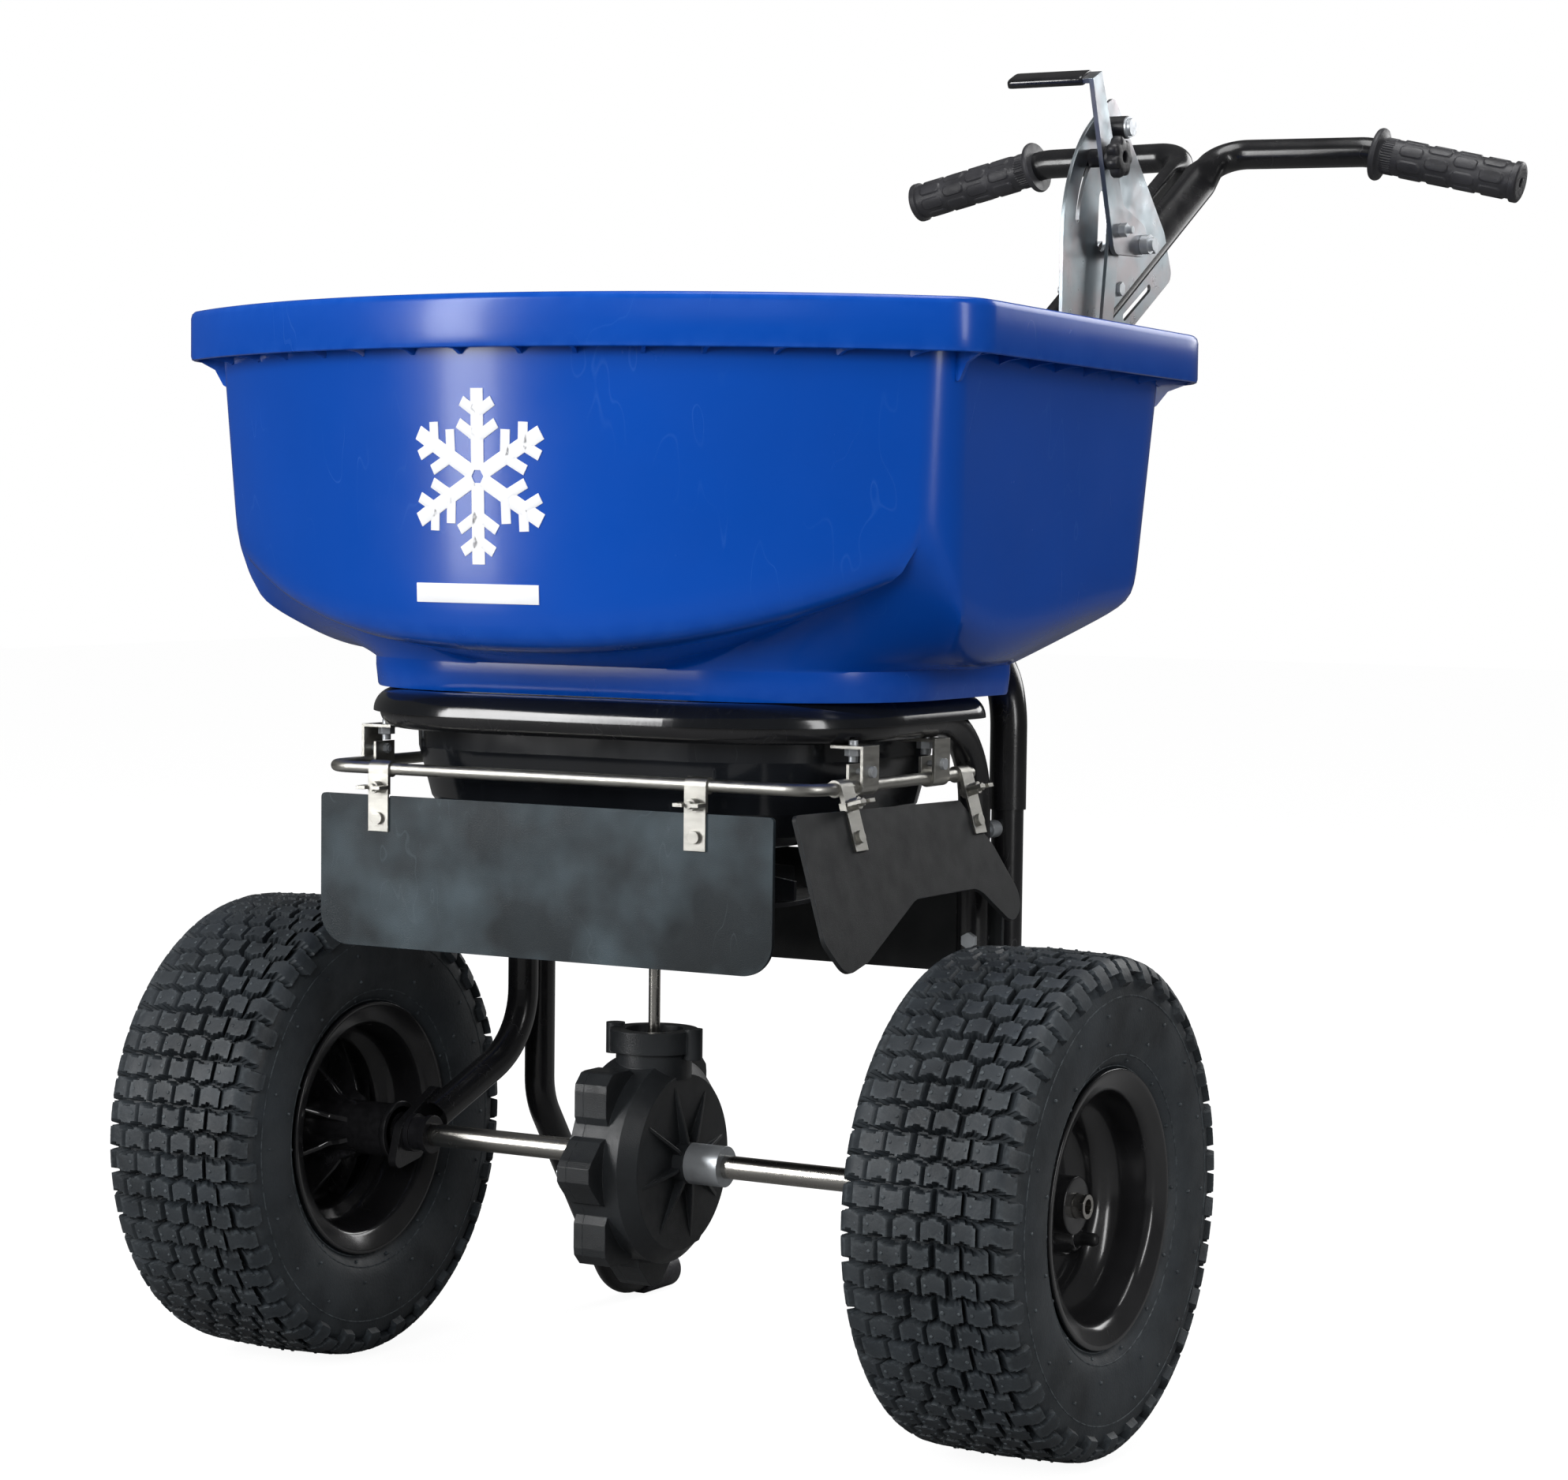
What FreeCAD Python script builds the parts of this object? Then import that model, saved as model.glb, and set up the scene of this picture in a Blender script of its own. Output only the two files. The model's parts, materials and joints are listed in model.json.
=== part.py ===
"""Walk-behind broadcast salt spreader: every loose piece is one solid or one group of solids.

Lengths are millimetres. The model is laid out about the axle: X along the axle, Y back towards
the handlebar, Z up, with the ground at Z = 0 below the axle's middle. The files are written in
the row frame, which has the same directions and its origin under the middle of the whole machine.
"""
import FreeCAD, Part
import math
import os

V = FreeCAD.Vector
X, Y, Z = V(1, 0, 0), V(0, 1, 0), V(0, 0, 1)
SIDES = (("left", -1), ("right", 1))

# ---- driving dimensions ----
FIT = 0.05                      # radial running clearance
TOUCH = 0.01                    # gap left between pieces that only touch
AXLE_Z = 165.0                  # tyre radius, so the tyres stand on the ground
AXLE_R = 15.875 / 2
AXLE_END = 327.0
TYRE_HALF_WIDTH = 62.0
WHEEL_X = 289.0                 # wheel centre plane
HUB_R = 19.0
HUB_IN, HUB_OUT = -79.0, 30.0   # hub ends, measured outwards from the wheel centre plane
TUBE_R = 22.2 / 2               # legs, hoop and stand
HANDLE_R = 25.4 / 2             # handle tubes
TUBE_WALL = 1.5
LEG_X, LEG_Y = 183.0, 116.0
POST_X, POST_Y = 191.0, 151.0
FRAME_BOLT_X = 187.0
HOOP_Z, HOOP_FRONT = 470.0, -115.0
HOOP_BEND = 60.0
HOOP_CORNER = 100.0
PAN_FLOOR = 388.0
PAN_THICK = 3.0
HOPPER_THICK = 4.0
RIM_TOP, RIM_BOTTOM = 736.0, 703.0
HOPPER_BASE, HOPPER_SHOULDER = 486.0, 506.0
RIM_TILT = 1.7                  # the rim rises by this many degrees towards the front
SHAFT_R = 4.0
GEAR_TEETH, PINION_TEETH = 48, 12
PINION_PITCH_R = 13.0
IMPELLER_R = 110.0
ROD_R = 4.0
ROD_X, ROD_FRONT, ROD_BACK, ROD_Z = 190.0, -120.0, 95.0, 433.0
SIDE_TILT = 16.0                # the side deflector leans outwards by this many degrees
SPINE_X = 15.5                  # centre of each handle tube where the two run side by side
SPINE_LOW, SPINE_HIGH = (330.0, 583.0), (885.0, 911.0)
FLAT_HALF = 6.5                 # half thickness of the flattened stretch of a handle tube
FLAT_WIDTH = 32.0
PLATE_X = SPINE_X + FLAT_HALF + TOUCH
PLATE_THICK = 3.0
PIVOT = (693.0, 828.0)          # flow lever pivot, Y and Z
LINK_VECTOR = (-18.2, -118.6)   # from the lever pivot to the crank pivot
ARM = 43.9                      # crank arm radius, the same at the lever and at the crank
LEVER_TRAVEL = 32.0             # degrees
LEVER_ARM_ANGLE = 168.2         # where the link bolt is, seen from +X, at rest
CRANK_OUT_ANGLE = 270.0 - LEVER_TRAVEL / 2
SLOT_R = 95.0
KNOB_ANGLE = 136.7
LINK_X, LEVER_X, CRANK_X = 32.0, 36.0, 28.0
GATE_STROKE = 2 * ARM * math.sin(math.radians(LEVER_TRAVEL / 2))
GRIP_IN, GRIP_OUT = V(159, 907, 915), V(284, 915, 887)


# ---- general shape helpers ----
def cylinder(start, direction, radius, length):
    return Part.makeCylinder(radius, length, start, direction)


def ring(start, direction, outer, inner, length):
    """A round tube, as one solid."""
    bore = cylinder(start - direction, direction, inner, length + 2)
    return cylinder(start, direction, outer, length).cut(bore)


def box(x0, x1, y0, y1, z0, z1):
    return Part.makeBox(x1 - x0, y1 - y0, z1 - z0, V(x0, y0, z0))


def hexagon(start, direction, across_flats, height):
    """A hexagonal prism along the direction, like a bolt head."""
    side = X if abs(direction.dot(X)) < 0.9 else Y
    first = direction.cross(side).normalize()
    second = direction.cross(first).normalize()
    corner = across_flats / math.sqrt(3)
    points = []
    for k in range(7):
        turn = math.radians(60 * k)
        points.append(start + first * corner * math.cos(turn) + second * corner * math.sin(turn))
    return Part.Face(Part.makePolygon(points)).extrude(direction * height)


def fuse(shapes):
    result = shapes[0].fuse(shapes[1:]) if len(shapes) > 1 else shapes[0]
    return result.removeSplitter()


def mirrored(shape):
    """The same piece on the other side of the machine."""
    return shape.mirror(V(0, 0, 0), X)


def sided(shape, side):
    return shape if side > 0 else mirrored(shape)


def fillet_points(before, corner, after, radius):
    """Start, middle and end of the arc that rounds a corner."""
    u = (before - corner).normalize()
    w = (after - corner).normalize()
    half = u.getAngle(w) / 2
    reach = radius / math.tan(half)
    middle = corner + (u + w).normalize() * (radius / math.sin(half) - radius)
    return corner + u * reach, middle, corner + w * reach


def bent_wire(points, radii):
    """A path of straight runs joined by arcs; radii has one value for each inner point."""
    edges = []
    start = points[0]
    for i, radius in enumerate(radii, 1):
        first, middle, last = fillet_points(points[i - 1], points[i], points[i + 1], radius)
        edges.append(Part.makeLine(start, first))
        edges.append(Part.Arc(first, middle, last).toShape())
        start = last
    edges.append(Part.makeLine(start, points[-1]))
    return Part.Wire(edges)


def rounded_face(corners, place):
    """A flat face from (u, v, corner radius) points; place turns u and v into a point."""
    count = len(corners)
    points = [place(c[0], c[1]) for c in corners]
    arcs = []
    for i, corner in enumerate(corners):
        before, after = points[i - 1], points[(i + 1) % count]
        arcs.append(fillet_points(before, points[i], after, max(corner[2], 0.2)))
    edges = []
    for i in range(count):
        edges.append(Part.Arc(*arcs[i]).toShape())
        end, start = arcs[i][2], arcs[(i + 1) % count][0]
        if (end - start).Length > 1e-6:
            edges.append(Part.makeLine(end, start))
    return Part.Face(Part.Wire(edges))


def yz_plate(corners, x, thickness):
    """A plate square to the axle, from (y, z, corner radius) points."""
    return rounded_face(corners, lambda y, z: V(x, y, z)).extrude(X * thickness)


def pipe(points, radii, radius, wall=0.0):
    """A bent round tube; with a wall it is open inside from end to end."""
    path = bent_wire(points, radii)
    heading = (points[1] - points[0]).normalize()

    def swept(r):
        circle = Part.Wire(Part.makeCircle(r, points[0], heading))
        return path.makePipeShell([circle], True, False)
    outer = swept(radius)
    return outer.cut(swept(radius - wall)) if wall else outer


def revolve_x(profile, x0=0.0, side=1):
    """Turn (x, radius) points about the axle."""
    points = [V(x0 + side * x, 0, AXLE_Z + r) for x, r in profile]
    face = Part.Face(Part.makePolygon(points + [points[0]]))
    return face.revolve(V(0, 0, AXLE_Z), X, 360)


def revolve_z(profile):
    """Turn (radius, z) points about the impeller shaft."""
    points = [V(r, 0, z) for r, z in profile]
    return Part.Face(Part.makePolygon(points + [points[0]])).revolve(V(0, 0, 0), Z, 360)


def yz_slot(a, b, half_width, x, thickness):
    """A straight round-ended slot square to the axle, to be cut away."""
    along = V(0, b[0] - a[0], b[1] - a[1])
    across = along.cross(X).normalize() * half_width
    start, end = V(x, *a), V(x, *b)
    corners = [start + across, end + across, end - across, start - across]
    bar = Part.Face(Part.makePolygon(corners + corners[:1])).extrude(X * thickness)
    return fuse([bar, cylinder(start, X, half_width, thickness), cylinder(end, X, half_width, thickness)])


def at_angle(centre, radius, degrees):
    """The (y, z) point at an angle round a (y, z) centre, counted from +Y towards +Z."""
    turn = math.radians(degrees)
    return centre[0] + radius * math.cos(turn), centre[1] + radius * math.sin(turn)


# ---- hopper and pan ----
def d_outline(half, front, back, front_r, back_r, z, bow=0.0):
    """A D-shaped closed outline: square at the back, well rounded at the front.

    The bow is how far the front corners' circles sit back from a straight front. The front is one
    large arc that runs smoothly into them.
    """
    centre = V(half - front_r, front + bow + front_r, z)
    turn = math.radians(90)
    if bow:
        nose_r = (centre.x ** 2 + bow ** 2 + 2 * bow * front_r) / (2 * bow)
        turn = math.acos(centre.x / (nose_r - front_r))
    front_right = centre + V(front_r * math.cos(turn), -front_r * math.sin(turn), 0)
    corner_middle = centre + V(front_r * math.cos(turn / 2), -front_r * math.sin(turn / 2), 0)
    b = back_r * (1 - math.sqrt(0.5))
    right, right_up = V(half, centre.y, z), V(half, back - back_r, z)
    back_middle, back_right = V(half - b, back - b, z), V(half - back_r, back, z)

    def left(point):
        return V(-point.x, point.y, z)
    nose = Part.LineSegment(left(front_right), front_right)
    if bow:
        nose = Part.Arc(left(front_right), V(0, front, z), front_right)
    edges = [
        nose.toShape(),
        Part.Arc(front_right, corner_middle, right).toShape(),
        Part.makeLine(right, right_up),
        Part.Arc(right_up, back_middle, back_right).toShape(),
        Part.makeLine(back_right, left(back_right)),
        Part.Arc(left(back_right), left(back_middle), left(right_up)).toShape(),
        Part.makeLine(left(right_up), left(right)),
        Part.Arc(left(right), left(corner_middle), left(front_right)).toShape(),
    ]
    return Part.Wire(edges)


def tilt_at(z):
    """How far the hopper is tipped back at a height, in degrees: level at its base, most at its rim."""
    return RIM_TILT * max(0.0, z - HOPPER_SHOULDER) / (RIM_TOP - HOPPER_SHOULDER)


def d_body(sections, inset=0.0):
    """A solid through D outlines given as (half width, front, back, front radius, back radius, z, bow)."""
    wires = []
    for half, front, back, front_r, back_r, z, bow in sections:
        wire = d_outline(half - inset, front + inset, back - inset, front_r - inset, back_r - inset, z, bow)
        wire.rotate(V(0, 0, z), X, -tilt_at(z))
        wires.append(wire)
    return Part.makeLoft(wires, True, True)


HOPPER_WALL = [
    (210, -108, 133, 114, 30, HOPPER_BASE, 0),
    (211, -109, 134, 114, 30, HOPPER_SHOULDER, 0),
    (250, -176, 161, 70, 38, 524, 40),
    (268, -196, 202, 52, 44, 548, 66),
    (276, -207, 209, 44, 48, 576, 74),
    (283, -212, 226, 36, 52, 712, 76),
]
RIM = (305, -228, 250, 40, 62)
RIM_BOW = 82


def make_hopper():
    outer = d_body(HOPPER_WALL)
    top_wall = HOPPER_WALL[-1]
    neck = d_body([top_wall, top_wall[:5] + (RIM_TOP, top_wall[6])])
    skirt = d_body([RIM + (RIM_BOTTOM, RIM_BOW), RIM + (RIM_TOP, RIM_BOW)])
    skirt_hollow = d_body([RIM + (RIM_BOTTOM - 1, RIM_BOW), RIM + (RIM_TOP - HOPPER_THICK, RIM_BOW)],
                          HOPPER_THICK)
    lip = skirt.cut(skirt_hollow)
    base = HOPPER_WALL[0]
    inner_sections = [base[:5] + (base[5] + HOPPER_THICK, base[6])] + HOPPER_WALL[1:]
    inner = d_body(inner_sections, HOPPER_THICK)
    mouth = d_body([top_wall, top_wall[:5] + (RIM_TOP + 1, top_wall[6])], HOPPER_THICK)
    outlet = d_body([pan_section(z, -4) for z in (480, 520)])
    collar = d_body([pan_section(z, -8) for z in (HOPPER_BASE, HOPPER_BASE + 18)]).cut(outlet)
    body = outer.fuse([neck, lip]).cut(inner.fuse(mouth)).cut(outlet)
    return fuse([body, collar]).cut(fuse(hopper_screw_holes()))


def pan_section(z, inset):
    """The pan's wall outline at a height, moved inwards by the inset."""
    front_r, back_r = max(84 - inset, 8), max(30 - inset, 8)
    return 168 - inset, HOOP_FRONT + 15 + inset, 105 - inset, front_r, back_r, z, 0


PAN_STEPS = [(PAN_FLOOR, 50), (PAN_FLOOR + 8, 22), (412, 10), (446, 1), (HOOP_Z, 0), (504, 0)]
ROLL_OUTER, ROLL_INNER = TUBE_R + 4.4, TUBE_R + 1.0
ROLL_BACK = 120.0


def make_pan():
    outer = d_body([pan_section(z, inset) for z, inset in PAN_STEPS])
    inner_steps = [(PAN_FLOOR + PAN_THICK, 52)]
    inner_steps += [(z + PAN_THICK, inset + PAN_THICK) for z, inset in PAN_STEPS[1:]]
    bowl = outer.cut(d_body([pan_section(z, inset) for z, inset in inner_steps]))
    shaft_hole = cylinder(V(0, 0, PAN_FLOOR - 1), Z, SHAFT_R + 1, 6)
    ports = [port(side, 0) for _, side in SIDES]
    return fuse([bowl, rolled_edge()]).cut(fuse([shaft_hole] + ports + hopper_screw_holes()))


def rolled_edge():
    """The pan's edge, rolled over the upper half of the hoop all the way round."""
    outline = d_outline(LEG_X, HOOP_FRONT, ROLL_BACK, HOOP_CORNER, 30, HOOP_Z).Edges
    start = V(0, HOOP_FRONT, HOOP_Z)
    front_end = V(LEG_X - HOOP_CORNER, HOOP_FRONT, HOOP_Z)
    path = [Part.makeLine(start, front_end)] + outline[1:]
    path.append(Part.makeLine(V(-front_end.x, HOOP_FRONT, HOOP_Z), start))
    section = [
        Part.Arc(start - Y * ROLL_OUTER, start + Z * ROLL_OUTER, start + Y * ROLL_OUTER).toShape(),
        Part.makeLine(start + Y * ROLL_OUTER, start + Y * ROLL_INNER),
        Part.Arc(start + Y * ROLL_INNER, start + Z * ROLL_INNER, start - Y * ROLL_INNER).toShape(),
        Part.makeLine(start - Y * ROLL_INNER, start - Y * ROLL_OUTER),
    ]
    return Part.Wire(path).makePipeShell([Part.Wire(section)], True, False)


PORT_X, PORT_HALF_X, PORT_Y, PORT_HALF_Y = 42.0, 22.0, 46.0, 11.0


def port(side, offset):
    """One drop port, as the solid to cut away; offset moves it along Y."""
    x = side * PORT_X
    y = PORT_Y + offset
    return box(x - PORT_HALF_X, x + PORT_HALF_X, y - PORT_HALF_Y, y + PORT_HALF_Y,
               PAN_FLOOR - 8, PAN_FLOOR + 5)


GATE_HALF, GATE_LOW, GATE_THICK = 72.0, PAN_FLOOR - 4.5, 3.0
GATE_PIN = (190.0, 405.0)


def make_gate():
    low, high = GATE_LOW, GATE_LOW + GATE_THICK
    sheet = box(-GATE_HALF, GATE_HALF, -52, 62, low, high)
    tail = box(1, CRANK_X + 3, 60, 206, low, high)
    ear = box(CRANK_X, CRANK_X + 3, 174, 206, low, GATE_PIN[1] + 12)
    slot = yz_slot((GATE_PIN[0], GATE_PIN[1] + 0.3), (GATE_PIN[0], GATE_PIN[1] - 2.2), 3.25, CRANK_X - 1, 5)
    shaft_slot = box(-SHAFT_R - 2, SHAFT_R + 2, -GATE_STROKE - 7, 7, low - 1, high + 1)
    ports = [port(side, -GATE_STROKE) for _, side in SIDES]
    return fuse([sheet, tail, ear]).cut(fuse([slot, shaft_slot] + ports))


def make_gate_guides():
    rails = []
    for _, side in SIDES:
        wall = box(GATE_HALF + 0.5, GATE_HALF + 4, -50, 88, GATE_LOW - 3.2, PAN_FLOOR - TOUCH)
        lip = box(GATE_HALF - 8, GATE_HALF + 1, -50, 88, GATE_LOW - 3.2, GATE_LOW - 0.2)
        rails.append(sided(fuse([wall, lip]), side))
    return rails


SCREW_Y, SCREW_Z = (-10.0, 60.0), 497.0


def hopper_screw_holes():
    holes = []
    for _, side in SIDES:
        for y in SCREW_Y:
            holes.append(cylinder(V(side * 155, y, SCREW_Z), X * side, 2.5 + TOUCH, 26))
    return holes


def make_hopper_screws():
    """Screws through the pan's rim and the hopper's collar, heads inside and nuts outside."""
    screws = []
    for _, side in SIDES:
        for y in SCREW_Y:
            shank = cylinder(V(162, y, SCREW_Z), X, 2.5, 20)
            head = cylinder(V(162, y, SCREW_Z), X, 5, 3 - TOUCH)
            nut = hexagon(V(176 + TOUCH, y, SCREW_Z), X, 8, 4)
            screws.append(sided(fuse([shank, head, nut]), side))
    return screws


# ---- frame ----
def leg_points(side):
    return [V(side * 196, 22, 175), V(side * LEG_X, LEG_Y, 220), V(side * LEG_X, LEG_Y, HOOP_Z)]


def make_leg_hoop():
    left, right = leg_points(-1), leg_points(1)
    front = [V(-LEG_X, HOOP_FRONT, HOOP_Z), V(LEG_X, HOOP_FRONT, HOOP_Z)]
    points = left + front + right[::-1]
    radii = [HOOP_BEND, HOOP_BEND, HOOP_CORNER, HOOP_CORNER, HOOP_BEND, HOOP_BEND]
    tube = pipe(points, radii, TUBE_R, TUBE_WALL)
    plates = []
    for _, side in SIDES:
        corners = [(-24, 140, 6), (-14, 172, 10), (34, 196, 6), (42, 178, 6), (10, 146, 8)]
        plate = yz_plate(corners, 199.5, 6.5).cut(cylinder(V(190, 0, AXLE_Z), X, 12 + TOUCH, 30))
        plates.append(sided(plate, side))
    holes = [frame_bolt_hole(side, z) for _, side in SIDES for z in FRAME_BOLT_HEIGHTS]
    return fuse([tube] + plates).cut(fuse(holes + stud_holes()))


FRAME_BOLT_HEIGHTS = (318.0, 392.0)


def frame_bolt_hole(side, z):
    return cylinder(V(side * FRAME_BOLT_X, 90, z), Y, 3 + TOUCH, 90)


STUD_Y = (-58.0, 42.0)


def stud_holes():
    holes = []
    for _, side in SIDES:
        for y in STUD_Y:
            holes.append(cylinder(V(side * LEG_X, y, HOOP_Z - TUBE_R - 3), Z, 3 + TOUCH, 8))
    return holes


def make_frame_bolts():
    bolts = []
    front, back = LEG_Y - TUBE_R, POST_Y + TUBE_R
    for _, side in SIDES:
        for z in FRAME_BOLT_HEIGHTS:
            centre = V(side * FRAME_BOLT_X, front, z)
            shank = cylinder(centre - Y * 3, Y, 3, back - front + 9)
            head = hexagon(centre - Y * (4 + TOUCH), Y, 10, 4)
            nut = hexagon(centre + Y * (back - front + TOUCH), Y, 10, 5)
            bolts.append(fuse([shank, head, nut]))
    return bolts


SHIELD_Y, SHIELD_THICK = LEG_Y + TUBE_R + TOUCH, 3.0


def make_frame_spacers():
    spacers = []
    back = POST_Y - TUBE_R
    for _, side in SIDES:
        for z in FRAME_BOLT_HEIGHTS:
            front = SHIELD_Y + (SHIELD_THICK + TOUCH if z < 350 else 0)
            spacer = ring(V(side * FRAME_BOLT_X, front, z), Y, 6, 3 + TOUCH, back - front)
            tubes = cylinder(V(side * LEG_X, LEG_Y, z - 20), Z, TUBE_R + TOUCH, 40)
            tubes = tubes.fuse(cylinder(V(side * POST_X, POST_Y, z - 20), Z, TUBE_R + TOUCH, 40))
            spacers.append(spacer.cut(tubes))
    return spacers


def make_rear_shield():
    corners = [(-200, 293, 12), (200, 293, 12), (200, 372, 8), (-200, 372, 8)]
    face = rounded_face(corners, lambda x, z: V(x, SHIELD_Y, z))
    holes = [frame_bolt_hole(side, FRAME_BOLT_HEIGHTS[0]) for _, side in SIDES]
    return face.extrude(Y * SHIELD_THICK).cut(fuse(holes))


HANDLE_FOOT = 405.0


def make_handle_tube(side):
    spine_dir = V(0, SPINE_HIGH[0] - SPINE_LOW[0], SPINE_HIGH[1] - SPINE_LOW[1]).normalize()
    low, high = V(SPINE_X, *SPINE_LOW), V(SPINE_X, *SPINE_HIGH)
    flat_start = low + spine_dir * 268
    flat_end = high - spine_dir * 10
    foot = [V(POST_X, POST_Y, HANDLE_FOOT), V(POST_X, POST_Y, 492), low, flat_start + spine_dir * 4]
    lower = pipe(foot, [45, 70], HANDLE_R)
    lower_bore = pipe(foot[:3] + [flat_start - spine_dir * 2], [45, 70], HANDLE_R - TUBE_WALL)
    top_corner = V(SPINE_X, GRIP_IN.y, GRIP_IN.z + 4)
    grip_dir = (GRIP_OUT - GRIP_IN).normalize()
    bend = GRIP_IN - grip_dir * 8
    bar = [flat_end - spine_dir * 4, top_corner, bend, GRIP_OUT - grip_dir * 4]
    upper = pipe(bar, [26, 60], HANDLE_R)
    bore_path = [bar[0] + spine_dir * 8, top_corner, bend, GRIP_OUT + grip_dir * 2]
    upper_bore = pipe(bore_path, [26, 60], HANDLE_R - TUBE_WALL)
    across = spine_dir.cross(X).normalize()
    half = FLAT_WIDTH / 2
    corners = [(-FLAT_HALF, -half, 6), (FLAT_HALF, -half, 6), (FLAT_HALF, half, 6), (-FLAT_HALF, half, 6)]
    profile = rounded_face(corners, lambda u, v: flat_start + X * u + across * v)
    flat = profile.extrude(flat_end - flat_start)
    tube = fuse([lower, flat, upper]).cut(lower_bore.fuse(upper_bore))
    holes = [cylinder(V(0, *point), X, 3 + TOUCH, 40) for point in PLATE_BOLTS]
    plate_space = box(PLATE_X, 40, 480, 860, 690, 960)
    tube = tube.cut(fuse(holes)).cut(plate_space)
    return sided(tube, side)


def on_spine(y):
    slope = (SPINE_HIGH[1] - SPINE_LOW[1]) / (SPINE_HIGH[0] - SPINE_LOW[0])
    return y, SPINE_LOW[1] + slope * (y - SPINE_LOW[0])


PLATE_BOLTS = [on_spine(748.0), on_spine(683.0)]


def make_grips():
    """Moulded grips: a sleeve with a flange at the thumb end and a closed outer end."""
    axis = (GRIP_OUT - GRIP_IN).normalize()
    sleeve = cylinder(GRIP_IN, axis, 16.0, (GRIP_OUT - GRIP_IN).Length)
    flange = cylinder(GRIP_IN, axis, 22.5, 5)
    end = cylinder(GRIP_OUT - axis * 5, axis, 17.5, 5)
    length = (GRIP_OUT - GRIP_IN).Length
    bore = cylinder(GRIP_IN - axis * 60, axis, HANDLE_R + TOUCH, length + 60 - 3.5)
    vent = cylinder(GRIP_OUT - axis * 10, axis, 4, 20)
    grip = fuse([sleeve, flange, end]).cut(bore).cut(vent)
    return [sided(grip, side) for _, side in SIDES]


def make_stand_legs():
    legs = []
    points = [V(POST_X, POST_Y, 440), V(POST_X, POST_Y, 172), V(POST_X, 262, 14), V(POST_X, 330, 14)]
    for _, side in SIDES:
        leg = pipe(points, [50, 40], TUBE_R, TUBE_WALL)
        holes = [frame_bolt_hole(1, z) for z in FRAME_BOLT_HEIGHTS]
        legs.append(sided(leg.cut(fuse(holes)), side))
    return legs


def make_stand_feet():
    feet = []
    ground = box(150, 240, 280, 340, -20, 0)
    for _, side in SIDES:
        cap = cylinder(V(POST_X, 296, 14), Y, 14.5, 38)
        cap = cap.cut(cylinder(V(POST_X, 290, 14), Y, TUBE_R + TOUCH, 40 + TOUCH)).cut(ground)
        feet.append(sided(cap, side))
    return feet


# ---- axle, wheels and gearbox ----
def make_axle():
    bar = cylinder(V(-AXLE_END, 0, AXLE_Z), X, AXLE_R, 2 * AXLE_END)
    ends = [cylinder(V(side * (AXLE_END - 30), 0, AXLE_Z), X * side, 5, 31) for _, side in SIDES]
    return bar.cut(fuse(ends + axle_pin_holes()))


DRIVE_PIN_X, RETAINER_X = WHEEL_X + HUB_IN + 8, -AXLE_END + 4


def axle_pin_holes():
    drive = cylinder(V(DRIVE_PIN_X, 0, AXLE_Z - 40), Z, 3 + TOUCH, 80)
    retainer = cylinder(V(RETAINER_X, 0, AXLE_Z - 40), Z, 1.5 + TOUCH, 80)
    return [drive, retainer]


def make_axle_pins():
    drive = cylinder(V(DRIVE_PIN_X, 0, AXLE_Z - 21), Z, 3, 42)
    retainer = cylinder(V(RETAINER_X, 0, AXLE_Z - 13), Z, 1.5, 26)
    return [drive, retainer]


def make_collars():
    left = ring(V(-61, 0, AXLE_Z), X, 14, AXLE_R + TOUCH, 13)
    right = ring(V(32, 0, AXLE_Z), X, 14, AXLE_R + TOUCH, 26)
    left = left.cut(cylinder(V(-54.5, 0, AXLE_Z), Z, 2.5 + TOUCH, 20))
    right = right.cut(cylinder(V(45, 0, AXLE_Z), Z, 2.5 + TOUCH, 20))
    return [left, right]


def make_collar_screws():
    top = AXLE_Z + AXLE_R + TOUCH
    standing = cylinder(V(-54.5, 0, top), Z, 2.5, 12).fuse(cylinder(V(-54.5, 0, top + 7), Z, 4, 2.5))
    sunk = cylinder(V(45, 0, top), Z, 2.5, 4.5)
    return [standing, sunk]


def make_bushings():
    """Ribbed nylon bushings between the axle and the leg plates."""
    bushings = []
    for _, side in SIDES:
        body = ring(V(184, 0, AXLE_Z), X, 12, AXLE_R + FIT, 22.5)
        rib = ring(V(182, 0, AXLE_Z), X, 13.5, AXLE_R + FIT, 4)
        collar = ring(V(195.5, 0, AXLE_Z), X, 13.5, AXLE_R + FIT, 3.9)
        bushings.append(sided(fuse([body, rib, collar]), side))
    return bushings


RIM_OUTLINE = [(-54, 90), (-51.5, 90), (-46, 76), (-20, 74), (-12, 62), (12, 62), (20, 74), (46, 76),
               (51.5, 90), (54, 90), (54, 88), (48.5, 73.5), (22, 71.5), (14, 59.5), (4, 59.5),
               (-2, 40), (8, HUB_R - 1), (5, HUB_R - 1), (-5, 40), (1, 59.5), (-14, 59.5),
               (-22, 71.5), (-48.5, 73.5), (-54, 88)]
RIBS = 8
RIB_OUTLINE = [(-48, HUB_R - 2), (-40, HUB_R + 4), (-12, 59.8), (-1, 59.8), (-4, 40), (5, HUB_R - 2)]
VALVE_R, VALVE_ANGLE = 48.0, -37.0


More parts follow.
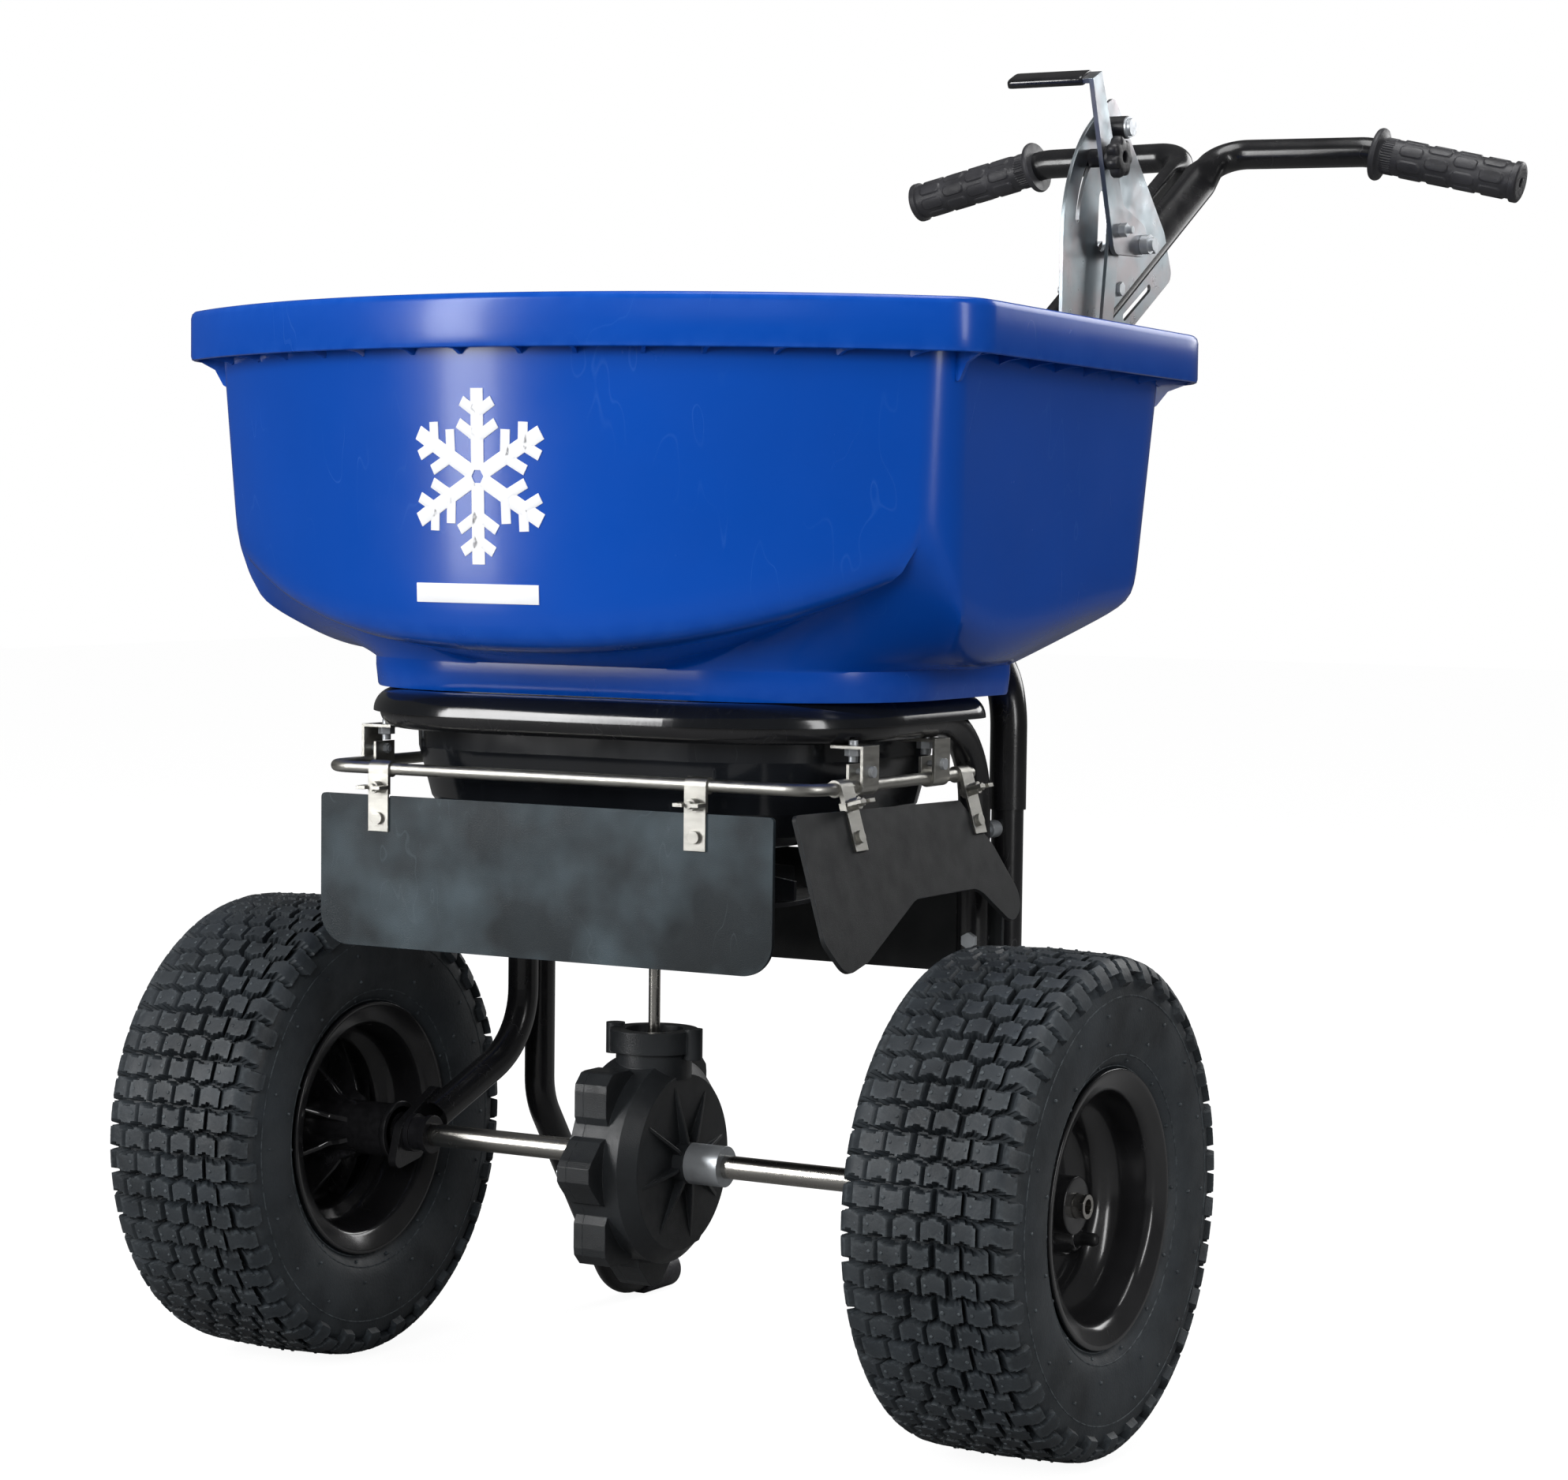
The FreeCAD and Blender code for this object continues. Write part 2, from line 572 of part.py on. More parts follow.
def make_rim(side, bore):
    rim = revolve_x(RIM_OUTLINE, side * WHEEL_X, side)
    hub = cylinder(V(side * (WHEEL_X + HUB_IN), 0, AXLE_Z), X * side, HUB_R, HUB_OUT - HUB_IN)
    ribs = []
    for k in range(RIBS):
        profile = [V(side * (WHEEL_X + u), 0, AXLE_Z + r)
                   for u, r in RIB_OUTLINE]
        fin = Part.Face(Part.makePolygon(profile + profile[:1])).extrude(Y * 3)
        fin.translate(Y * -1.5)
        fin.rotate(V(0, 0, AXLE_Z), X, 360.0 * k / RIBS + 22.5)
        ribs.append(fin)
    cut = cylinder(V(side * (WHEEL_X + HUB_IN - 2), 0, AXLE_Z), X * side, bore, HUB_OUT - HUB_IN + 4)
    holes = [cut, valve_body(side, TOUCH)] + (axle_pin_holes()[:1] if side > 0 else [])
    return fuse([rim, hub] + ribs).cut(fuse(holes))


def valve_body(side, grow=0.0):
    y, z = at_angle((0, AXLE_Z), VALVE_R, VALVE_ANGLE)
    base = V(side * (WHEEL_X - 9), y, z)
    stem = cylinder(base, X * side, 3.2 + grow, 38)
    seat = cylinder(base, X * side, 6 + grow, 5)
    grip = cylinder(base + X * side * 12, X * side, 5.5 + grow, 10)
    return fuse([stem, seat, grip])


TYRE_OUTLINE = [(45.6, 77), (47.5, 88), (55, 97), (60.5, 110), (62, 124), (60.5, 140), (56, 154),
                (50, 161.5), (40, 165)]
TYRE_INNER = [(38, 77), (40, 90), (48, 100), (53, 112), (54, 124), (52.5, 138), (48, 148), (38, 154)]


def make_tyre(side):
    outer = TYRE_OUTLINE + [(-u, r) for u, r in reversed(TYRE_OUTLINE)]
    inner = [(-u, r) for u, r in TYRE_INNER] + list(reversed(TYRE_INNER))
    return revolve_x(outer + inner, side * WHEEL_X, side)


def make_wheel_bushings():
    bushings = []
    for start in (HUB_IN, HUB_OUT - 18):
        body = ring(V(-WHEEL_X - start, 0, AXLE_Z), X * -1, 11, AXLE_R + FIT, 18)
        bushings.append(body)
    return bushings


SEAM_X = -15.0
LOBE_ANGLES = (0, 45, 135, 180, 225, 270, 315)


def make_gearbox():
    """Both shells, built whole and parted at the seam."""
    outline = [(-45, 9), (-45, 13.5), (-30, 16), (-28, 56), (-24, 70), (14, 70), (24, 60), (24, 15),
               (31.5, 14), (31.5, 9)]
    cavity = [(-24, 9), (-24, 60), (-20, 66), (11, 66), (20, 57), (20, 9)]
    body = revolve_x(outline)
    lobes = []
    for angle in LOBE_ANGLES:
        block = Part.Face(Part.makePolygon([V(-22, *p) for p in lobe_points()])).extrude(X * 25)
        block.rotate(V(0, 0, AXLE_Z), X, angle)
        lobes.append(block)
    ribs = []
    for k in range(8):
        profile = [V(23, 0, AXLE_Z + r) if h == 0 else V(24 + h, 0, AXLE_Z + r)
                   for r, h in ((12, 0), (12, 6.5), (22, 5.5), (60, 0))]
        rib = Part.Face(Part.makePolygon(profile + profile[:1])).extrude(Y * 2.4)
        rib.translate(Y * -1.2)
        rib.rotate(V(0, 0, AXLE_Z), X, 45.0 * k + 12)
        ribs.append(rib)
    neck = cylinder(V(0, 0, 222), Z, 26, 18)
    whole = fuse([body, neck] + lobes + ribs)
    whole = whole.cut(revolve_x(cavity)).cut(cylinder(V(-60, 0, AXLE_Z), X, 10 + TOUCH, 110))
    whole = whole.cut(cylinder(V(0, 0, 215), Z, 12 + TOUCH, 30))
    whole = whole.cut(cylinder(V(0, 0, 200), Z, 17.5, 28))
    whole = whole.cut(fuse(gearbox_screw_holes()))
    parting = box(-200, SEAM_X, -200, 200, 0, 400)
    left = whole.common(parting)
    right = whole.cut(box(-200, SEAM_X + TOUCH, -200, 200, 0, 400))
    return left, right


def lobe_points():
    """One screw lobe on the +Y side of the drum, as (y, z) points."""
    points = [(62, -24), (72, -21), (84, -9), (87, -5), (87, 5), (84, 9), (72, 21), (62, 24)]
    placed = [(y, AXLE_Z + z) for y, z in points]
    return placed + placed[:1]


def gearbox_screw_holes():
    return [cylinder(V(-23, *at_angle((0, AXLE_Z), 79, angle)), X, 2 + TOUCH, 22) for angle in LOBE_ANGLES]


def make_gearbox_screws():
    screws = []
    for angle in LOBE_ANGLES:
        start = V(-22.5 - TOUCH, *at_angle((0, AXLE_Z), 79, angle))
        shank = cylinder(start, X, 2, 20)
        head = cylinder(start - X * 2.5, X, 4, 3)
        screws.append(fuse([shank, head]))
    return screws


def make_gearbox_cap():
    cap = ring(V(0, 0, 240 + TOUCH), Z, 30, 20, 15)
    floor = ring(V(0, 0, 240 + TOUCH), Z, 22, SHAFT_R + 1.5, 3)
    ears = [cylinder(V(side * 31, 0, 236), Z, 6.5, 21) for _, side in SIDES]
    neck = cylinder(V(0, 0, 200), Z, 26 + TOUCH, 40 + TOUCH)
    keep_bore = cylinder(V(0, 0, 243), Z, 20, 30)
    return fuse([cap] + ears).cut(neck).cut(keep_bore).fuse(floor)


def make_bearings():
    right = ring(V(22, 0, AXLE_Z), X, 10, AXLE_R + FIT, 9.4)
    left = ring(V(-44.9, 0, AXLE_Z), X, 10, AXLE_R + FIT, 18)
    upper = ring(V(0, 0, 229), Z, 12, SHAFT_R + FIT, 10.9)
    return [right, left, upper]


# ---- bevel gears ----
PRESSURE = math.radians(25)
TOOTH_ADD, TOOTH_DED, BACKLASH, TOOTH_LENGTH = 0.8, 1.0, 0.35, 0.2
APEX = V(0, 0, AXLE_Z)


def involute(angle):
    return math.tan(angle) - angle


def bevel_gear(teeth, mate, bore, back, first_tooth):
    """A bevel gear on +Z with its pitch cone's tip at the origin; back is the disc behind the teeth."""
    module = 2 * PINION_PITCH_R / PINION_TEETH
    pitch_r, height = module * teeth / 2, module * mate / 2
    length = math.hypot(pitch_r, height)
    virtual_r = pitch_r * length / height
    base_r = virtual_r * math.cos(PRESSURE)
    half_tooth = (math.pi * module / 2 - BACKLASH) / 2 / virtual_r
    tip, root = virtual_r + TOOTH_ADD * module, virtual_r - TOOTH_DED * module
    flank = []
    steps = 5
    for k in range(steps):
        radius = max(root, base_r) + (tip - max(root, base_r)) * k / (steps - 1)
        spread = half_tooth + involute(PRESSURE) - involute(math.acos(min(base_r / radius, 1.0)))
        flank.append((radius * math.cos(spread) - virtual_r, radius * math.sin(spread)))
    foot = (root - 0.9 - virtual_r, flank[0][1])
    side = [foot] + flank
    outline = side + [(s, -t) for s, t in reversed(side)]
    cone = V(pitch_r, 0, height) * (1 / length)
    normal = V(height, 0, -pitch_r) * (1 / length)
    wires = []
    for scale in (1.0, 1.0 - TOOTH_LENGTH):
        points = [(cone * length + normal * s + Y * t) * scale for s, t in outline]
        wires.append(Part.makePolygon(points + points[:1]))
    tooth = Part.makeLoft(wires, True, True)
    drop = TOOTH_DED * module
    outer_r, outer_z = pitch_r - drop * height / length, height + drop * pitch_r / length
    inner = 1.0 - TOOTH_LENGTH
    profile = [(bore, inner * outer_z), (inner * outer_r, inner * outer_z), (outer_r, outer_z),
               (outer_r, outer_z + back), (bore, outer_z + back)]
    body = revolve_z(profile)
    all_teeth = []
    for k in range(teeth):
        copy = tooth.copy()
        copy.rotate(V(0, 0, 0), Z, 360.0 * (k + first_tooth) / teeth)
        all_teeth.append(copy)
    return fuse([body] + all_teeth)


def make_drive_gear():
    gear = bevel_gear(GEAR_TEETH, PINION_TEETH, AXLE_R + TOUCH, 4.5, 0.5)
    gear.rotate(V(0, 0, 0), Y, -90)
    gear.translate(APEX)
    hub = ring(V(-14, 0, AXLE_Z), X, 15, AXLE_R + TOUCH, 14)
    return fuse([gear, hub])


def make_pinion():
    pinion = bevel_gear(PINION_TEETH, GEAR_TEETH, SHAFT_R + TOUCH, 4, 0)
    pinion.translate(APEX)
    return pinion


# ---- impeller side ----
SHAFT_LOW, SHAFT_TOP = 202.0, 436.0
IMPELLER_Z = 346.0
PIN_HEIGHTS = (360.0, 408.0)


def pin_holes():
    return [cylinder(V(-30, 0, z), X, 1.5 + TOUCH, 60) for z in PIN_HEIGHTS]


def make_shaft():
    return cylinder(V(0, 0, SHAFT_LOW), Z, SHAFT_R, SHAFT_TOP - SHAFT_LOW).cut(fuse(pin_holes()))


def make_shaft_pins():
    return [cylinder(V(-half, 0, z), X, 1.5, 2 * half) for z, half in zip(PIN_HEIGHTS, (13, 9))]


def make_impeller():
    disc = ring(V(0, 0, IMPELLER_Z), Z, IMPELLER_R, SHAFT_R + TOUCH, 3)
    hub = ring(V(0, 0, IMPELLER_Z - 6), Z, 14, SHAFT_R + TOUCH, 32)
    fins = []
    for k in range(6):
        outline = [(12, 1), (IMPELLER_R - 1, 1), (IMPELLER_R - 1, 16), (40, 26), (12, 26)]
        points = [V(x, -1.5, IMPELLER_Z + height) for x, height in outline]
        fin = Part.Face(Part.makePolygon(points + points[:1])).extrude(Y * 3)
        fin.rotate(V(0, 0, 0), Z, 60 * k)
        fins.append(fin)
    bore = cylinder(V(0, 0, IMPELLER_Z - 10), Z, SHAFT_R + TOUCH, 50)
    return fuse([disc, hub] + fins).cut(bore).cut(pin_holes()[0])


def make_agitator():
    hub = ring(V(0, 0, 398), Z, 10, SHAFT_R + TOUCH, 20).cut(pin_holes()[1])
    arms = []
    for side in (-1, 1):
        arm = pipe([V(0, side * 6, 412), V(0, side * 52, 412), V(0, side * 62, 446)], [10], 3)
        arms.append(arm)
    return fuse([hub] + arms).cut(cylinder(V(0, 0, 390), Z, SHAFT_R + TOUCH, 60))


# ---- deflectors ----
CLIP_WIDTH, STRIP = 16.0, 1.5
CLIP_IN = ROD_R + FIT
FRONT_PLATE_X = (-190.0, 162.0)
FRONT_CLIP_X = (-142.0, 105.0)
SIDE_CLIP_Y = (-88.0, 80.0)


def make_rod():
    points = [V(-ROD_X, ROD_BACK, ROD_Z), V(-ROD_X, ROD_FRONT, ROD_Z),
              V(ROD_X, ROD_FRONT, ROD_Z), V(ROD_X, ROD_BACK, ROD_Z)]
    return pipe(points, [20, 20], ROD_R)


def hanging(shape, tilt):
    """Turn a piece made hanging straight down below the origin outwards by tilt degrees."""
    turned = shape.copy()
    turned.rotate(V(0, 0, 0), Y, -tilt)
    return turned


def clip_at(y):
    """A clip folded round the rod. The rod runs along Y through the origin and +X is outwards."""
    y0, y1 = y - CLIP_WIDTH / 2, y + CLIP_WIDTH / 2
    loop = ring(V(0, y0, 0), Y, CLIP_IN + STRIP, CLIP_IN, CLIP_WIDTH)
    leg = box(CLIP_IN, CLIP_IN + STRIP, y0, y1, -42, 0)
    tab = box(CLIP_IN - STRIP, CLIP_IN + 0.2, y0, y1, -17, -3.6)
    bore = cylinder(V(0, y0 - 1, 0), Y, CLIP_IN, CLIP_WIDTH + 2)
    return fuse([loop, leg, tab]).cut(bore).cut(fuse(clip_screw_holes(y)))


WING_DROP, SCREW_DROP = 12.0, 33.0


def clip_screw_holes(y):
    wing = cylinder(V(-10, y, -WING_DROP), X, 2.5 + TOUCH, 30)
    screw = cylinder(V(-10, y, -SCREW_DROP), X, 2 + TOUCH, 30)
    return [wing, screw]


def clip_screws_at(y):
    face = CLIP_IN + STRIP + TOUCH
    back = CLIP_IN - STRIP - TOUCH
    wing_shank = cylinder(V(back - 5, y, -WING_DROP), X, 2.5, 17)
    wing_nut = hexagon(V(back - 4, y, -WING_DROP), X, 8, 4)
    boss = cylinder(V(face, y, -WING_DROP), X, 4, 6)
    wings = []
    for turn in (-1, 1):
        middle = y + turn * 6
        wing = box(face + 2, face + 12, middle - 3.5, middle + 3.5, -WING_DROP - 1.2, -WING_DROP + 1.2)
        wings.append(wing)
    wing_screw = fuse([wing_shank, wing_nut, boss] + wings)
    plate_back = CLIP_IN - 3 - TOUCH
    shank = cylinder(V(plate_back - 5, y, -SCREW_DROP), X, 2, 5 + 3 + STRIP + 0.5)
    head = cylinder(V(face, y, -SCREW_DROP), X, 4.2, 2.4)
    nut = hexagon(V(plate_back - 3.5, y, -SCREW_DROP), X, 7, 3.5)
    return [wing_screw, fuse([shank, head, nut])]


def clip_notches(places):
    """The room a deflector leaves for each clip's folded tab and wing screw."""
    half = CLIP_WIDTH / 2 + 0.5
    return [box(-8, 10, y - half, y + half, -WING_DROP - 7, 0) for y in places]


def side_plate():
    corners = [(-160, -14, 4), (62, -18, 6), (96, -52, 30), (121, -92, 14), (98, -106, 14), (60, -78, 30),
               (-30, -78, 30), (-112, -112, 12), (-142, -118, 16), (-160, -96, 12)]
    face = rounded_face(corners, lambda y, z: V(CLIP_IN - 3 - TOUCH, y, z))
    holes = [cylinder(V(-5, y, -SCREW_DROP), X, 2 + TOUCH, 20) for y in SIDE_CLIP_Y]
    return face.extrude(X * 3).cut(fuse(holes + clip_notches(SIDE_CLIP_Y)))


def make_side(parts):
    """Hang the side deflector's pieces on the rod beside the drive wheel."""
    placed = []
    for solid in parts:
        turned = hanging(solid, SIDE_TILT)
        turned.translate(V(ROD_X, 0, ROD_Z))
        placed.append(turned)
    return placed


def make_front(parts):
    """Front deflector pieces are made along Y and turned so that the rod runs along X."""
    placed = []
    for solid in parts:
        turned = solid.copy()
        turned.rotate(V(0, 0, 0), Z, -90)
        turned.translate(V(0, ROD_FRONT, ROD_Z))
        placed.append(turned)
    return placed


def front_plate():
    low, high = FRONT_PLATE_X
    corners = [(low, -18, 3), (high, -18, 3), (high, -120, 22), (low, -120, 22)]
    face = rounded_face(corners, lambda y, z: V(CLIP_IN - 3 - TOUCH, y, z))
    holes = [cylinder(V(-5, x, -SCREW_DROP), X, 2 + TOUCH, 20) for x in FRONT_CLIP_X]
    return face.extrude(X * 3).cut(fuse(holes + clip_notches(FRONT_CLIP_X)))


def make_rod_brackets():
    brackets = []
    width = 22.0
    inner = ROD_R + TOUCH
    outer = inner + 2
    tab_top = HOOP_Z - TUBE_R - TOUCH
    for _, side in SIDES:
        for y in STUD_Y:
            y0, y1 = y - width / 2, y + width / 2
            tab = box(172, ROD_X + outer, y0, y1, tab_top - 2, tab_top)
            leg = box(ROD_X + inner, ROD_X + outer, y0, y1, ROD_Z, tab_top)
            above = box(150, 230, y0 - 1, y1 + 1, ROD_Z, ROD_Z + 20)
            hook = ring(V(ROD_X, y0, ROD_Z), Y, outer, inner, width).cut(above)
            back = box(ROD_X - outer, ROD_X - inner, y0, y1, ROD_Z, ROD_Z + 14)
            bolt_hole = cylinder(V(150, y, ROD_Z + 9), X, 2 + TOUCH, 60)
            stud_hole = cylinder(V(LEG_X, y, tab_top - 5), Z, 3 + TOUCH, 10)
            brackets.append(sided(fuse([tab, leg, hook, back]).cut(bolt_hole).cut(stud_hole), side))
    return brackets


def make_bracket_bolts():
    """Studs with nuts under the hoop, and the small bolts that close each bracket."""
    bolts = []
    tab_low = HOOP_Z - TUBE_R - TOUCH - 2
    outer = ROD_R + TOUCH + 2
    for _, side in SIDES:
        for y in STUD_Y:
            stud = cylinder(V(LEG_X, y, tab_low - 9), Z, 3, 14)
            nut = hexagon(V(LEG_X, y, tab_low - 5 - TOUCH), Z, 10, 5)
            bolts.append(sided(fuse([stud, nut]), side))
            shank = cylinder(V(ROD_X - outer - 4, y, ROD_Z + 9), X, 2, 2 * outer + 5)
            head = cylinder(V(ROD_X + outer + TOUCH, y, ROD_Z + 9), X, 3.8, 2.6)
            small_nut = hexagon(V(ROD_X - outer - 3 - TOUCH, y, ROD_Z + 9), X, 6, 3)
            bolts.append(sided(fuse([shank, head, small_nut]), side))
    return bolts


# ---- control ----
CRANK_PIVOT = (PIVOT[0] + LINK_VECTOR[0], PIVOT[1] + LINK_VECTOR[1])
LINK_TOP = at_angle(PIVOT, ARM, LEVER_ARM_ANGLE)
LINK_LOW = at_angle(CRANK_PIVOT, ARM, LEVER_ARM_ANGLE)
ROD_TOP = at_angle(CRANK_PIVOT, ARM, CRANK_OUT_ANGLE)
KNOB = at_angle(PIVOT, SLOT_R, KNOB_ANGLE)
BUMPER = (655.5, 920.0)


def arc_slot(centre, radius, first, last, half_width, x, thickness):
    """A slot bent round a centre, to be cut away."""
    middle = (first + last) / 2
    low = [V(x, *at_angle(centre, radius - half_width, a)) for a in (first, middle, last)]
    high = [V(x, *at_angle(centre, radius + half_width, a)) for a in (last, middle, first)]
    edges = [Part.Arc(*low).toShape(), Part.makeLine(low[2], high[0]),
             Part.Arc(*high).toShape(), Part.makeLine(high[2], low[0])]
    bar = Part.Face(Part.Wire(edges)).extrude(X * thickness)
    ends = [cylinder(V(x, *at_angle(centre, radius, a)), X, half_width, thickness) for a in (first, last)]
    return fuse([bar] + ends)


def make_control_plate():
    corners = [(667, 946, 9), (770, 843, 12), (788, 806, 10), (700, 756, 20), (702, 690, 18),
               (640, 690, 20), (574, 740, 20), (574, 886, 117), (648, 938, 14)]
    plate = yz_plate(corners, PLATE_X, PLATE_THICK)
    x0 = PLATE_X - 1
    cuts = [arc_slot(PIVOT, SLOT_R, KNOB_ANGLE - 2, KNOB_ANGLE + LEVER_TRAVEL + 2, 3.3, x0, 5),
            yz_slot((648, 862), (646, 828), 8, x0, 5), yz_slot((693, 769), (741, 795), 3.2, x0, 5)]
    for point in PLATE_BOLTS:
        cuts.append(cylinder(V(x0, *point), X, 3 + TOUCH, 5))
    for point in (PIVOT, CRANK_PIVOT, BUMPER):
        cuts.append(cylinder(V(x0, *point), X, 4 + TOUCH, 5))
    return plate.cut(fuse(cuts))


def make_plate_bolts():
    bolts = []
    outside = PLATE_X + PLATE_THICK + TOUCH
    far = -(SPINE_X + FLAT_HALF) - TOUCH
    for point in PLATE_BOLTS:
        shank = cylinder(V(far - 8, *point), X, 3, outside - far + 9)
        head = hexagon(V(outside, *point), X, 10, 2.4)
        nut = hexagon(V(far - 5, *point), X, 10, 5)
        bolts.append(fuse([shank, head, nut]))
    return bolts


def make_pivot_bolts():
    """The lever's and the crank's pivots: a bolt with its spacer, its end sleeve and its back."""
    return [lever_pivot(), crank_pivot()]


def pivot_core(point, start, thickness):
    """Shank and spacer of a pivot whose arm starts at the x given, and the x where the arm ends."""
    face = PLATE_X + PLATE_THICK + TOUCH
    tip = start + thickness + 0.2
    shank = cylinder(V(PLATE_X - 7, *point), X, 4, tip - PLATE_X + 9)
    spacer = cylinder(V(face, *point), X, 7, start - 0.2 - face)
    return [shank, spacer], tip


def lever_pivot():
    core, tip = pivot_core(PIVOT, LEVER_X, 4.0)
    nut = hexagon(V(PLATE_X - 5.5 - TOUCH, *PIVOT), X, 13, 5.5)
    sleeve = cylinder(V(tip, *PIVOT), X, 8, 7)
    end = cylinder(V(tip + 6, *PIVOT), X, 5.5, 5)
    return fuse(core + [nut, sleeve, end])


def crank_pivot():
    core, tip = pivot_core(CRANK_PIVOT, CRANK_X, 3.0)
    back = cylinder(V(PLATE_X - 3 - TOUCH, *CRANK_PIVOT), X, 6, 3)
    sleeve = cylinder(V(tip, *CRANK_PIVOT), X, 7, 4)
    return fuse(core + [back, sleeve])


LEVER_DIR = V(0, -0.406, 0.914).normalize()
LEVER_TOP = V(LEVER_X, 601.0, 957.0)
LEVER_BAR_END, GRIP_START = -33.0, 30.0


def lever_bar_box(x0, x1, half_width, low, high):
    """A block across the machine, square to the lever's length, with low and high along the lever."""
    width = X.cross(LEVER_DIR).normalize()
    base = V(0, LEVER_TOP.y, LEVER_TOP.z)
    corners = [base + width * w + LEVER_DIR * h for w, h in
               ((-half_width, low), (half_width, low), (half_width, high), (-half_width, high))]
    placed = [V(x0, p.y, p.z) for p in corners]
    return Part.Face(Part.makePolygon(placed + placed[:1])).extrude(X * (x1 - x0))


def make_lever():
    corners = [(592.8, 953.3, 0.5), (609.2, 960.7, 0.5), (655, 857, 6), (699, 843, 10), (706, 818, 10),
               (639, 817, 10)]
    bar = yz_plate(corners, LEVER_X, 4)
    cross = lever_bar_box(LEVER_BAR_END, LEVER_X + 4, 9, -4, 0)
    holes = [cylinder(V(LEVER_X - 1, *PIVOT), X, 4 + FIT, 6),
             cylinder(V(LEVER_X - 1, *LINK_TOP), X, 3 + TOUCH, 6),
             cylinder(V(LEVER_X - 1, *KNOB), X, 3 + FIT, 6)]
    return fuse([bar, cross]).cut(fuse(holes))


def make_lever_grip():
    body = lever_bar_box(LEVER_BAR_END - 2.5, GRIP_START, 11, -6.2, 2.2)
    return body.cut(lever_bar_box(LEVER_BAR_END - TOUCH, GRIP_START + 5, 9 + TOUCH, -4 - TOUCH, TOUCH))


def make_knob_spacer():
    start = PLATE_X + PLATE_THICK + 0.1
    return ring(V(start, *KNOB), X, 7.5, 3 + FIT, LEVER_X - TOUCH - start)


def make_knob():
    start = LEVER_X + 4 + TOUCH
    boss = cylinder(V(start, *KNOB), X, 9, 4)
    lobes = [cylinder(V(start + 4, *KNOB), X, 14, 11)]
    for k in range(7):
        point = at_angle(KNOB, 13.5, 360.0 * k / 7)
        lobes.append(cylinder(V(start + 4, *point), X, 3.6, 11))
    stud = cylinder(V(PLATE_X - 3, *KNOB), X, 3, start - PLATE_X + 10)
    head = cylinder(V(PLATE_X - 3.2, *KNOB), X, 6.5, 3.1)
    socket = cylinder(V(start + 12, *KNOB), X, 3.5, 5)
    return fuse([boss, stud, head] + lobes).cut(socket)


def make_link_bolt():
    start = LEVER_X + 4 + TOUCH
    shank = cylinder(V(LINK_X - 1, *LINK_TOP), X, 3, start - LINK_X + 12)
    head = cylinder(V(LINK_X - 2.2, *LINK_TOP), X, 5.5, 2.1)
    nut = hexagon(V(start, *LINK_TOP), X, 10, 6)
    return fuse([shank, head, nut])


def flat_link(top, low, x, half_width, thickness, hole_r):
    """A flat bar between two eyes, in the plane square to the axle."""
    bar = yz_slot(top, low, half_width, x, thickness)
    holes = [cylinder(V(x - 1, *p), X, hole_r, thickness + 2) for p in (top, low)]
    return bar.cut(fuse(holes))


def make_crank():
    arms = [yz_slot(CRANK_PIVOT, LINK_LOW, 9, CRANK_X, 3), yz_slot(CRANK_PIVOT, ROD_TOP, 9, CRANK_X, 3)]
    body = fuse(arms).cut(cylinder(V(CRANK_X - 1, *CRANK_PIVOT), X, 4 + FIT, 5))
    pins = []
    for point in (LINK_LOW, ROD_TOP):
        pins.append(cylinder(V(CRANK_X + 2, *point), X, 3, 6))
        pins.append(cylinder(V(LINK_X + 3.2, *point), X, 5.5, 2))
    return fuse([body] + pins)


def make_gate_rod():
    bar = yz_slot(ROD_TOP, GATE_PIN, 8, LINK_X, 3).cut(cylinder(V(LINK_X - 1, *ROD_TOP), X, 3 + FIT, 5))
    pin = cylinder(V(CRANK_X - 1.5, *GATE_PIN), X, 3, 6)
    head = cylinder(V(CRANK_X - 2.6, *GATE_PIN), X, 5.5, 2)
    return fuse([bar, pin, head])


def make_bumper():
    start = PLATE_X + PLATE_THICK + TOUCH
    sleeve = ring(V(start, *BUMPER), X, 9.25, 4 + TOUCH, 17)
    shank = cylinder(V(PLATE_X - 8, *BUMPER), X, 4, 30)
    flange = cylinder(V(start + 17 + TOUCH, *BUMPER), X, 8.6, 2)
    dome = cylinder(V(start + 18, *BUMPER), X, 7.2, 4)
    nut = hexagon(V(PLATE_X - 6 - TOUCH, *BUMPER), X, 12, 6)
    return sleeve, fuse([shank, flange, dome, nut])


